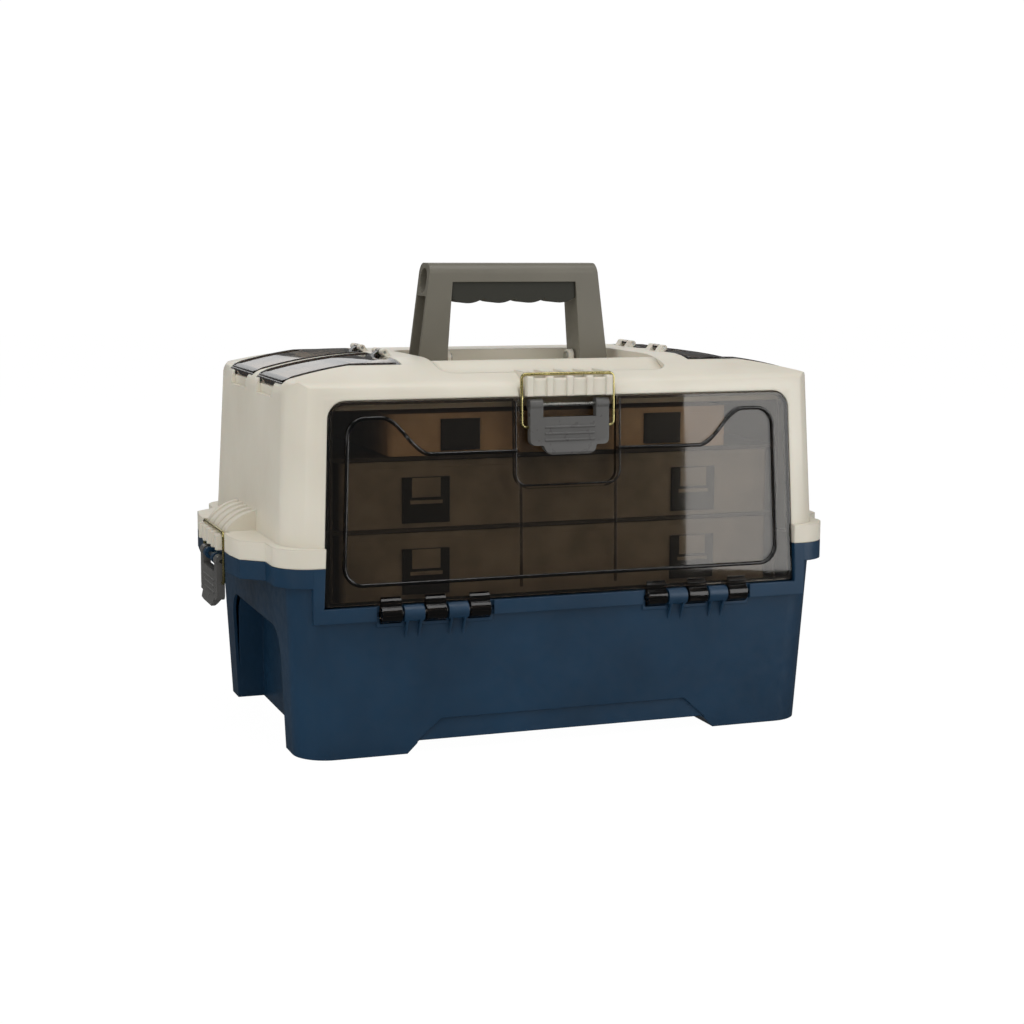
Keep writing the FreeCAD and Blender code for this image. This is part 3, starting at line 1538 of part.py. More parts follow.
def under_crown(drop):
    """The region below the lowered crown."""
    meet, end = dome(d.crown_start, d.crown_radius, d.end_edge_radius, WALL_X)
    low = d.ceiling_height - d.overrun
    return [
        (-meet[0] - d.overrun, low),
        (meet[0] + d.overrun, low),
        (meet[0] + d.overrun, meet[1] - drop - 0.3 * d.overrun),
        (meet[0], meet[1] - drop),
        (d.crown_start, d.top_height - drop, d.crown_radius, 1),
        (-d.crown_start, d.top_height - drop),
        (-meet[0], meet[1] - drop, d.crown_radius, 1),
        (-meet[0] - d.overrun, meet[1] - drop - 0.3 * d.overrun),
    ]


# Rack that hangs from the lid

def rack_side(label, side):
    panel = Piece(label)
    outer = d.rack_half_width
    low = d.shelf_low - d.rack_skin
    outline = rect(-d.rack_front, low, d.rack_back, d.ceiling_height)
    cross_bar(panel, outline, outer - d.rack_skin, d.rack_skin, side)
    return panel


def rack_shelf(label, top):
    shelf = Piece(label)
    half = d.rack_half_width - d.rack_skin
    shelf.pad("XY_Plane", rect(-half, -d.rack_front, half, d.rack_back), d.rack_skin, level=top - d.rack_skin)
    return shelf


# Utility boxes

def box_tray(label, half, depth, tall, base):
    tray = Piece(label)
    front = -d.rack_front + d.box_front_inset
    high = tall - d.box_cover_height
    tray.pad("XY_Plane", rounded(half, depth / 2, d.box_corner_radius, y=front + depth / 2), high, level=base)
    skin = d.box_skin
    tray.pocket("XY_Plane", rounded(half - skin, depth / 2 - skin, d.box_corner_radius - skin,
                                    y=front + depth / 2), high - skin, level=base + high)
    tray.core_done = True
    wall = 0.8 * skin
    rows = 4
    cell = (depth - skin) / rows
    for row in range(1, rows):
        y = front + cell * row
        tray.pad("XY_Plane", rect(-half + skin / 2, y, half - skin / 2, y + wall), high - 3 * skin,
                 level=base + skin / 2)
    return tray.finish()


def box_cover(label, half, depth, tall, base):
    cover = Piece(label)
    front = -d.rack_front + d.box_front_inset
    level = base + tall - d.box_cover_height + d.pin_clearance
    high = d.box_cover_height - d.pin_clearance
    plan = rounded(half, depth / 2, d.box_corner_radius, y=front + depth / 2)
    cover.pad("XY_Plane", plan, high, level=level)
    skin = d.box_skin
    cover.pocket("XY_Plane", rounded(half - skin, depth / 2 - skin, d.box_corner_radius - skin,
                                     y=front + depth / 2), high - skin, level=level, back=True)
    return cover


def box_latch(label, place, half, tall, base, high, side):
    """A snap latch: a plate over the box's front that hooks on the cover."""
    latch = Piece(label)
    front = -d.rack_front + d.box_front_inset
    skin = d.box_skin
    low = base + 2 * d.box_skin
    x = place * side
    depth_pad(latch, rect(x - half, low, x + half, low + high), front - d.pin_clearance - skin,
              front - d.pin_clearance)
    latch.round(skin * 0.5, lambda e: straight(e) and abs(direction(e).y) < 0.1
                and middle(e).y < front.value - skin.value)
    return latch


# Pins

def pin(label, radius, length):
    item = Piece(label)
    item.pad("YZ_Plane", [("circle", 0.0, 0.0, radius)], length)
    return item


def headed_pin(label, radius, length, head):
    item = pin(label, radius, length)
    item.pad("YZ_Plane", [("circle", 0.0, 0.0, 1.6 * radius)], head, level=-head)
    return item


# The whole cabinet

def build():
    node(base_tub())
    node(lid_shell())
    node(door_panel())
    for name, side in HALVES:
        span = 5 * STEP - d.knuckle_gap
        start = d.knuckle_start if side > 0 else -d.knuckle_start - span
        front = pin("front_hinge_pin_" + name, d.hinge_pin_radius, span)
        node(front.place(x=start, y=-d.hinge_depth, z=d.hinge_height))
        span = 3 * d.rear_knuckle_width + 2 * d.rear_knuckle_gap
        start = d.rear_knuckle_start if side > 0 else -d.rear_knuckle_start - span
        rear = pin("rear_hinge_pin_" + name, d.hinge_pin_radius, span)
        node(rear.place(x=start, y=d.rear_hinge_depth, z=d.split_height))
    span = 2 * d.latch_half_width - d.hinge_pin_radius
    front = pin("front_latch_pin", d.latch_pin_radius, span)
    node(front.place(x=-span / 2, y=FRONT_PIVOT_Y, z=d.front_latch_height))
    lever = latch_lever("front_latch_lever")
    node(lever.place(y=FRONT_PIVOT_Y, z=d.front_latch_height, axis=Vector(-1, 0, 0), angle=d.door_lean))
    bail = wire_bail("front_latch_bail")
    node(bail.place(y=FRONT_HOOK_Y, z=FRONT_HOOK_Z, axis=Vector(-1, 0, 0), angle=d.door_lean))
    for name, side in HALVES:
        x = SIDE_PIVOT_X * side
        turn = Vector(0, 0, side)
        lever = latch_lever("%s_latch_lever" % name)
        node(lever.place(x=x, z=d.side_latch_height, axis=turn, angle=90.0))
        bail = wire_bail("%s_latch_bail" % name)
        hook_z = d.side_latch_height - d.bail_pivot_drop
        node(bail.place(x=SIDE_WIRE_X * side, z=hook_z, axis=turn, angle=90.0))
        rod = pin("%s_latch_pin" % name, d.latch_pin_radius, span)
        node(rod.place(x=x, y=-span / 2, z=d.side_latch_height, axis=Vector(0, 0, 1), angle=90.0))
    node(handle_frame())
    node(handle_grip())
    for name, side in HALVES:
        inner = d.handle_inner_low - d.handle_gap - d.handle_lug_width - 2 * d.pin_clearance
        span = d.handle_lug_width + d.handle_gap + d.handle_skin + d.handle_pin_tail
        rod = headed_pin("handle_pin_" + name, d.handle_pin_radius, span, d.handle_pin_head)
        turn = 0.0 if side > 0 else 180.0
        node(rod.place(x=inner * side, z=d.handle_pivot_height, axis=Vector(0, 0, 1), angle=turn))
    for end, side in HALVES:
        for near_name, way in (("rear", 1), ("front", -1)):
            name = "top_lid_%s_%s" % (near_name, end)
            node(hatch(name, side, way))
            span = 3 * d.hatch_knuckle_width + 2 * d.hatch_gap
            low = d.hatch_knuckle_start if way > 0 else -d.hatch_knuckle_start - span
            rod = pin("top_pin_%s_%s" % (near_name, end), d.hatch_pin_radius, span)
            z = d.top_height + d.hatch_axis_rise
            node(rod.place(x=d.hatch_inner * side, y=low, z=z, axis=Vector(0, 0, 1), angle=90.0))
    node(rack_side("rack_side_right", 1))
    node(rack_side("rack_side_left", -1))
    for name, top in zip(("low", "middle", "high"), SHELVES):
        node(rack_shelf("rack_shelf_" + name, top))
        small = name == "high"
        half = d.small_box_half_length if small else d.box_half_length
        depth = d.small_box_depth if small else d.box_depth
        tall = d.small_box_height if small else d.box_height
        base = top + d.box_gap
        node(box_tray("box_%s_tray" % name, half, depth, tall, base))
        node(box_cover("box_%s_cover" % name, half, depth, tall, base))
        place = d.small_latch_place if small else d.box_latch_place
        wide = d.small_latch_half_width if small else d.box_latch_half_width
        high = d.small_latch_height if small else d.box_latch_height
        for end, side in HALVES:
            node(box_latch("box_%s_latch_%s" % (name, end), place, wide, tall, base, high, side))


build()
DOC.recompute()
for item in DOC.Objects:
    if "Invalid" in item.State or "Error" in item.State:
        raise RuntimeError("%s did not compute" % item.Name)
os.makedirs("parts", exist_ok=True)
for item in NODES:
    shape = item.Shape
    if shape.isNull() or not shape.isValid():
        raise RuntimeError("%s has no valid shape" % item.Label)
    shape.exportStep(os.path.join("parts", item.Label + ".step"))
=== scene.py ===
"""Fishing tackle cabinet: finishes and added pieces for each sub-assembly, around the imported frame."""

import json
import logging
import math
from dataclasses import dataclass, field
from enum import Enum

import bmesh
import bpy
from mathutils import Matrix, Vector


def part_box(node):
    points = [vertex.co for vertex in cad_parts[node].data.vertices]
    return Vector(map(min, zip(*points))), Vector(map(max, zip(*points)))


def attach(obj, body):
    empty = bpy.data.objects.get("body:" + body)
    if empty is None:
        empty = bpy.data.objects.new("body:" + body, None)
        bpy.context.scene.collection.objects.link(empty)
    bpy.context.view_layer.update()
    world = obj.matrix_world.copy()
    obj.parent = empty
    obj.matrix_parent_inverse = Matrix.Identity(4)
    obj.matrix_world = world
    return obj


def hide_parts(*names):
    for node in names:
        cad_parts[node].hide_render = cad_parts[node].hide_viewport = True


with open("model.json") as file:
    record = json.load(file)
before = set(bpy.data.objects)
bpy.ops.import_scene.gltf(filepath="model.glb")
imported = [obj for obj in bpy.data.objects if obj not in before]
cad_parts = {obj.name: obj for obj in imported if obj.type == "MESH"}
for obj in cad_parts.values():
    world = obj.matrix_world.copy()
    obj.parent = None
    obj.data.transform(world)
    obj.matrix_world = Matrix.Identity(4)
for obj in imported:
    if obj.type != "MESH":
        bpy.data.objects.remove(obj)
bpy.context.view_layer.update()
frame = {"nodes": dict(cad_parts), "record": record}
LOG = logging.getLogger("cabinet")
MM = 0.001
FLAT_FACING = 0.5
CAMERA_WHITE = 1.02


def linear(code: str) -> tuple[float, float, float, float]:
    """Turns an sRGB hex colour into Blender's linear one.

    Args:
        code: six hex digits, such as "E1DCCD".

    Returns:
        Red, green, blue and an alpha of 1.
    """
    parts = [int(code[i:i + 2], 16) / 255 for i in (0, 2, 4)]
    red, green, blue = [p / 12.92 if p <= 0.04045 else ((p + 0.055) / 1.055) ** 2.4 for p in parts]
    return red, green, blue, 1.0


def add(tree: bpy.types.NodeTree, kind: str, settings: dict | None = None,
        links: dict | None = None, **options: object) -> bpy.types.Node:
    """Adds one node to a tree.

    Args:
        tree: the material's, world's or modifier's node tree.
        kind: the node's type name.
        settings: input values, by socket name or number.
        links: sockets that feed its inputs, by socket name or number.
        options: the node's own properties, such as blend_type.

    Returns:
        The new node.
    """
    node = tree.nodes.new(kind)
    for name, value in options.items():
        setattr(node, name, value)
    for name, value in (settings or {}).items():
        node.inputs[name].default_value = value
    for name, socket in (links or {}).items():
        tree.links.new(socket, node.inputs[name])
    return node


def new_material(name: str) -> tuple[bpy.types.Material, bpy.types.NodeTree]:
    """An empty node material and its tree."""
    material = bpy.data.materials.new(name)
    material.use_nodes = True
    material.node_tree.nodes.clear()
    return material, material.node_tree


def mottled(tree: bpy.types.NodeTree, place: bpy.types.NodeSocket, size_mm: float,
            detail: float = 2.0) -> bpy.types.NodeSocket:
    """Noise whose blotches are about size_mm across.

    Args:
        tree: the material's tree.
        place: the coordinates that it reads, in metres.
        size_mm: the width of one blotch.
        detail: how many finer layers it has.

    Returns:
        The noise's value socket.
    """
    noise = add(tree, "ShaderNodeTexNoise", {"Scale": 1 / (size_mm * MM), "Detail": detail},
                {"Vector": place})
    return noise.outputs["Fac"]


def spread(tree: bpy.types.NodeTree, value: bpy.types.NodeSocket, low: float,
           high: float) -> bpy.types.NodeSocket:
    """Maps the middle of a noise, 0.3 to 0.7, to low to high."""
    settings = {"From Min": 0.3, "From Max": 0.7, "To Min": low, "To Max": high}
    return add(tree, "ShaderNodeMapRange", settings, {"Value": value}).outputs["Result"]


def blended(tree: bpy.types.NodeTree, share: bpy.types.NodeSocket, one: str,
            other: str) -> bpy.types.NodeSocket:
    """A colour between two hex colours, by a value from 0 to 1."""
    node = add(tree, "ShaderNodeMix", data_type="RGBA")
    node.inputs[6].default_value = linear(one)
    node.inputs[7].default_value = linear(other)
    tree.links.new(share, node.inputs[0])
    return node.outputs[2]


@dataclass(frozen=True)
class MouldedPlastic:
    """Injection-moulded polypropylene: satin, with a fine etched grain and soft flow marks."""

    name: str
    colour: str
    shade: str
    roughness: float = 0.42
    grain_mm: float = 0.9
    grain_depth_mm: float = 0.035
    edge_mm: float = 0.7
    flow_mm: float = 70.0
    ior: float = 1.49
    scatter: float = 0.0

    def material(self) -> bpy.types.Material:
        """Builds the plastic: two near colours in wide flow marks, and a grain that breaks up the shine."""
        material, tree = new_material(self.name)
        place = add(tree, "ShaderNodeTexCoord").outputs["Object"]
        flow = spread(tree, mottled(tree, place, self.flow_mm), 0.0, 1.0)
        grain = mottled(tree, place, self.grain_mm, 3.0)
        rough = spread(tree, mottled(tree, place, 9 * self.grain_mm), self.roughness - 0.04,
                       self.roughness + 0.05)
        edge = add(tree, "ShaderNodeBevel", {"Radius": self.edge_mm * MM}, samples=4)
        bump = add(tree, "ShaderNodeBump", {"Strength": 1.0, "Distance": self.grain_depth_mm * MM},
                   {"Height": grain, "Normal": edge.outputs["Normal"]})
        shader = add(tree, "ShaderNodeBsdfPrincipled",
                     {"IOR": self.ior, "Subsurface Weight": self.scatter, "Subsurface Scale": 2 * MM},
                     {"Base Color": blended(tree, flow, self.colour, self.shade), "Roughness": rough,
                      "Normal": bump.outputs["Normal"]})
        add(tree, "ShaderNodeOutputMaterial", links={"Surface": shader.outputs[0]})
        return material


@dataclass(frozen=True)
class SmokePlastic:
    """Clear moulded styrene with a smoke tint: glossy, and lamps shine through it."""

    name: str
    tint: str
    shadow: str
    roughness: float = 0.015
    edge_mm: float = 0.5
    ripple_mm: float = 55.0
    ripple_depth_mm: float = 0.05
    ior: float = 1.57

    def material(self) -> bpy.types.Material:
        """Builds the clear plastic, with a faint moulding ripple in its shine."""
        material, tree = new_material(self.name)
        place = add(tree, "ShaderNodeTexCoord").outputs["Object"]
        ripple = mottled(tree, place, self.ripple_mm, 1.0)
        edge = add(tree, "ShaderNodeBevel", {"Radius": self.edge_mm * MM}, samples=4)
        bump = add(tree, "ShaderNodeBump", {"Strength": 1.0, "Distance": self.ripple_depth_mm * MM},
                   {"Height": ripple, "Normal": edge.outputs["Normal"]})
        rough = spread(tree, mottled(tree, place, 14.0), self.roughness, self.roughness + 0.02)
        shader = add(tree, "ShaderNodeBsdfPrincipled",
                     {"Base Color": linear(self.tint), "IOR": self.ior, "Transmission Weight": 1.0},
                     {"Roughness": rough, "Normal": bump.outputs["Normal"]})
        passing = add(tree, "ShaderNodeBsdfTransparent", {"Color": linear(self.shadow)})
        ray = add(tree, "ShaderNodeLightPath")
        mix = add(tree, "ShaderNodeMixShader", links={0: ray.outputs["Is Shadow Ray"], 1: shader.outputs[0],
                                                      2: passing.outputs[0]})
        add(tree, "ShaderNodeOutputMaterial", links={"Surface": mix.outputs[0]})
        return material


@dataclass(frozen=True)
class DrawnWire:
    """Brass-plated drawn steel wire: bright, with fine lines left by the die."""

    name: str
    colour: str
    dull: str
    roughness: float = 0.22
    line_mm: float = 1.4

    def material(self) -> bpy.types.Material:
        """Builds the metal, with duller patches where hands rub it."""
        material, tree = new_material(self.name)
        place = add(tree, "ShaderNodeTexCoord").outputs["Object"]
        worn = spread(tree, mottled(tree, place, 12.0), 0.0, 1.0)
        lines = mottled(tree, place, self.line_mm, 3.0)
        rough = spread(tree, lines, self.roughness - 0.06, self.roughness + 0.12)
        bump = add(tree, "ShaderNodeBump", {"Strength": 1.0, "Distance": 0.02 * MM}, {"Height": lines})
        shader = add(tree, "ShaderNodeBsdfPrincipled", {"Metallic": 1.0},
                     {"Base Color": blended(tree, worn, self.colour, self.dull), "Roughness": rough,
                      "Normal": bump.outputs["Normal"]})
        add(tree, "ShaderNodeOutputMaterial", links={"Surface": shader.outputs[0]})
        return material


CREAM = MouldedPlastic("cream_polypropylene", "E6E0D1", "DDD6C6", 0.40, edge_mm=2.0, scatter=0.08)
NAVY = MouldedPlastic("navy_polypropylene", "183C58", "14344D", 0.36, edge_mm=1.2)
RACK = MouldedPlastic("rack_polypropylene", "3A332D", "2F2A26", 0.5, edge_mm=0.3)
LATCH = MouldedPlastic("latch_polycarbonate", "605F5D", "575655", 0.3, 0.7, 0.004, 0.35)
HANDLE = MouldedPlastic("handle_polypropylene", "767266", "6E6A5F", 0.38, 0.8, 0.03, 1.0)
GRIP = MouldedPlastic("grip_rubber", "30322D", "282A26", 0.62, 1.2, 0.12, 0.8, 25.0)
BOX_LATCH = MouldedPlastic("box_latch_polypropylene", "080706", "0C0A09", 0.4, edge_mm=0.3)
SMOKE = SmokePlastic("smoke_polystyrene", "CDC6BA", "D6CABC")
# Painted shade: a darker copy of the smoke plastic for the door's raised line, ribs, rim and beads and for
# the top lids' rims and beads, where the same plastic looks dark seen along it.
SMOKE_PAINTED_SHADE = SmokePlastic("smoke_polystyrene_painted_shade", "4A4039", "5A5048", 0.04)
TOP_SMOKE = SmokePlastic("top_smoke_polystyrene", "C9BBAA", "C8BCAE")
BOX_CLEAR = MouldedPlastic("box_polypropylene_clear", "93897B", "7E7568", 0.22, 1.5, 0.05, 0.4, 26.0)
BOX_BROWN = MouldedPlastic("box_polypropylene_brown", "D0B290", "BFA281", 0.22, 1.5, 0.05, 0.4, 26.0)
BRASS = DrawnWire("brass_plated_wire", "CFC387", "AEA26C")
STEEL = DrawnWire("zinc_plated_steel", "B9B9B4", "9A9A96", 0.3)


class Slot(Enum):
    """The record's material slots, each with its finish."""

    CREAM = ("cream_plastic", CREAM)
    NAVY = ("navy_plastic", NAVY)
    SMOKE = ("smoke_plastic", SMOKE)
    TOP = ("smoke_plastic", TOP_SMOKE)
    # Painted shade: the darker copy of the smoke plastic.
    EDGE = ("smoke_plastic", SMOKE_PAINTED_SHADE)
    RACK = ("rack_plastic", RACK)
    LATCH = ("latch_plastic", LATCH)
    WIRE = ("brass_wire", BRASS)
    HANDLE = ("handle_plastic", HANDLE)
    GRIP = ("grip_rubber", GRIP)
    BOX = ("box_plastic", BOX_CLEAR)
    BROWN_BOX = ("box_plastic", BOX_BROWN)
    BOX_LATCH = ("box_latch_plastic", BOX_LATCH)
    PIN = ("pin_steel", STEEL)

    def material(self) -> bpy.types.Material:
        """The slot's material, made on first use."""
        finish = self.value[1]
        return bpy.data.materials.get(finish.name) or finish.material()


def body_of(node: str) -> str:
    """The name of the body that carries a CAD node."""
    for body, members in frame["record"]["behaviour"]["bodies"].items():
        if node in members:
            return body
    raise KeyError(node)


def seated(item: bpy.types.Object, body: str, slot: Slot) -> bpy.types.Object:
    """Gives a piece its material and slot and lets it ride on its body.

    Args:
        item: the finished piece, in place.
        body: the CAD body that it moves with.
        slot: its material slot.

    Returns:
        The piece.
    """
    item.data.materials.clear()
    item.data.materials.append(slot.material())
    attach(item, body)
    LOG.info("%s rides on %s: %d faces", item.name, body, len(item.data.polygons))
    return item


def moulding(node: str, slot: Slot, crease_degrees: float = 28.0) -> bpy.types.Object:
    """A joined copy of a CAD node whose curves are shaded smooth and whose creases stay sharp.

    Args:
        node: the CAD node that it stands for.
        slot: its material slot.
        crease_degrees: an edge that turns more than this stays sharp.

    Returns:
        The new piece.
    """
    mesh = frame["nodes"][node].data.copy()
    if "custom_normal" in mesh.attributes:
        mesh.attributes.remove(mesh.attributes["custom_normal"])
    work = bmesh.new()
    work.from_mesh(mesh)
    bmesh.ops.remove_doubles(work, verts=work.verts, dist=0.002 * MM)
    limit = math.radians(crease_degrees)
    for face in work.faces:
        face.smooth = True
    for edge in work.edges:
        edge.smooth = len(edge.link_faces) == 2 and edge.calc_face_angle(math.pi) < limit
    work.to_mesh(mesh)
    work.free()
    mesh.name = node + "_moulding"
    item = bpy.data.objects.new(node + "_moulding", mesh)
    bpy.context.scene.collection.objects.link(item)
    even = item.modifiers.new("even_normals", "WEIGHTED_NORMAL")
    even.keep_sharp = True
    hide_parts(node)
    return seated(item, body_of(node), slot)


def drawn(name: str, work: bmesh.types.BMesh) -> bpy.types.Object:
    """Turns a working mesh into an object of that name and frees it."""
    mesh = bpy.data.meshes.new(name)
    work.to_mesh(mesh)
    work.free()
    item = bpy.data.objects.new(name, mesh)
    bpy.context.scene.collection.objects.link(item)
    return item


def tree_with(name: str, sizes: dict[str, float]) -> bpy.types.NodeTree:
    """A geometry tree with a geometry in and out, a material and the named sizes as inputs.

    Args:
        name: the tree's name.
        sizes: each size's name and usual value.

    Returns:
        The tree, without its nodes.
    """
    tree = bpy.data.node_groups.new(name, "GeometryNodeTree")
    tree.interface.new_socket("Geometry", in_out="INPUT", socket_type="NodeSocketGeometry")
    for size, value in sizes.items():
        socket = tree.interface.new_socket(size, in_out="INPUT", socket_type="NodeSocketFloat")
        socket.default_value = value
    tree.interface.new_socket("Material", in_out="INPUT", socket_type="NodeSocketMaterial")
    tree.interface.new_socket("Geometry", in_out="OUTPUT", socket_type="NodeSocketGeometry")
    return tree


def grown(name: str, points: list[Vector], edges: list[tuple[int, int]], tree: bpy.types.NodeTree,
          values: dict[str, object]) -> bpy.types.Object:
    """Runs a geometry tree on a set of points and keeps the result as a plain mesh.

    Args:
        name: the finished piece's name.
        points: the places that the tree works from, in metres.
        edges: pairs of points that are joined.
        tree: the geometry tree.
        values: the tree's inputs, by name.

    Returns:
        The finished piece, with no modifier left.
    """
    mesh = bpy.data.meshes.new(name + "_points")
    mesh.from_pydata([tuple(p) for p in points], edges, [])
    seed = bpy.data.objects.new(name + "_points", mesh)
    bpy.context.scene.collection.objects.link(seed)
    modifier = seed.modifiers.new("shape", "NODES")
    modifier.node_group = tree
    sockets = {s.name: s.identifier for s in tree.interface.items_tree
               if s.item_type == "SOCKET" and s.in_out == "INPUT"}
    for size, value in values.items():
        modifier[sockets[size]] = value
    result = bpy.data.meshes.new_from_object(seed.evaluated_get(bpy.context.evaluated_depsgraph_get()))
    bpy.data.objects.remove(seed)
    result.name = name
    item = bpy.data.objects.new(name, result)
    bpy.context.scene.collection.objects.link(item)
    return item


def wire_tree() -> bpy.types.NodeTree:
    """Round wire along joined points, with filleted bends."""
    tree = tree_with("bent_wire", {"Wire Radius": 1.2 * MM, "Bend Radius": 3 * MM})
    given = add(tree, "NodeGroupInput").outputs
    run = add(tree, "GeometryNodeMeshToCurve", links={"Mesh": given["Geometry"]})
    bends = add(tree, "GeometryNodeFilletCurve", {"Count": 7, "Limit Radius": True},
                {"Curve": run.outputs[0], "Radius": given["Bend Radius"]}, mode="POLY")
    ring = add(tree, "GeometryNodeCurvePrimitiveCircle", {"Resolution": 14}, {"Radius": given["Wire Radius"]})
    tube = add(tree, "GeometryNodeCurveToMesh", {"Fill Caps": True},
               {"Curve": bends.outputs[0], "Profile Curve": ring.outputs[0]})
    smooth = add(tree, "GeometryNodeSetShadeSmooth", links={"Geometry": tube.outputs[0]})
    real = add(tree, "GeometryNodeRealizeInstances", links={0: smooth.outputs[0]})
    dressed = add(tree, "GeometryNodeSetMaterial", links={0: real.outputs[0], "Material": given["Material"]})
    add(tree, "NodeGroupOutput", links={0: dressed.outputs[0]})
    return tree


def rod(name: str, points: list[Vector], tree: bpy.types.NodeTree, radius: float, bend: float,
        slot: Slot, closed: bool = False) -> bpy.types.Object:
    """Runs the wire tree along a path.

    Args:
        name: the finished piece's name.
        points: the path's corners, in metres.
        tree: the tree that makes round wire.
        radius: the rod's radius in millimetres.
        bend: the radius of its bends in millimetres.
        slot: its material slot.
        closed: whether the path ends where it starts.

    Returns:
        The rod, which rides on nothing yet.
    """
    edges = [(i, i + 1) for i in range(len(points) - 1)]
    if closed:
        edges.append((len(points) - 1, 0))
    return grown(name, points, edges, tree, {"Wire Radius": radius * MM, "Bend Radius": bend * MM,
                                             "Material": slot.material()})


def plate_tree() -> bpy.types.NodeTree:
    """A thin upright plate with a stiffening foot at each point."""
    tree = tree_with("divider_plates", {"Thickness": 1.1 * MM, "Depth": 52 * MM, "Height": 34 * MM})
    given = add(tree, "NodeGroupInput").outputs
    size = add(tree, "ShaderNodeCombineXYZ",
               links={"X": given["Thickness"], "Y": given["Depth"], "Z": given["Height"]})
    plate = add(tree, "GeometryNodeMeshCube", links={"Size": size.outputs[0]})
    wide = add(tree, "ShaderNodeMath", {1: 3.0}, {0: given["Thickness"]}, operation="MULTIPLY")
    foot_size = add(tree, "ShaderNodeCombineXYZ",
                    links={"X": wide.outputs[0], "Y": given["Depth"], "Z": given["Thickness"]})
    foot = add(tree, "GeometryNodeMeshCube", links={"Size": foot_size.outputs[0]})
    half = add(tree, "ShaderNodeMath", {1: -0.5}, {0: given["Height"]}, operation="MULTIPLY")
    low = add(tree, "ShaderNodeCombineXYZ", links={"Z": half.outputs[0]})
    moved = add(tree, "GeometryNodeTransform", links={0: foot.outputs[0], "Translation": low.outputs[0]})
    joined = add(tree, "GeometryNodeJoinGeometry")
    tree.links.new(plate.outputs[0], joined.inputs[0])
    tree.links.new(moved.outputs[0], joined.inputs[0])
    spread_out = add(tree, "GeometryNodeInstanceOnPoints",
                     links={"Points": given["Geometry"], "Instance": joined.outputs[0]})
    real = add(tree, "GeometryNodeRealizeInstances", links={0: spread_out.outputs[0]})
    dressed = add(tree, "GeometryNodeSetMaterial", links={0: real.outputs[0], "Material": given["Material"]})
    add(tree, "NodeGroupOutput", links={0: dressed.outputs[0]})
    return tree


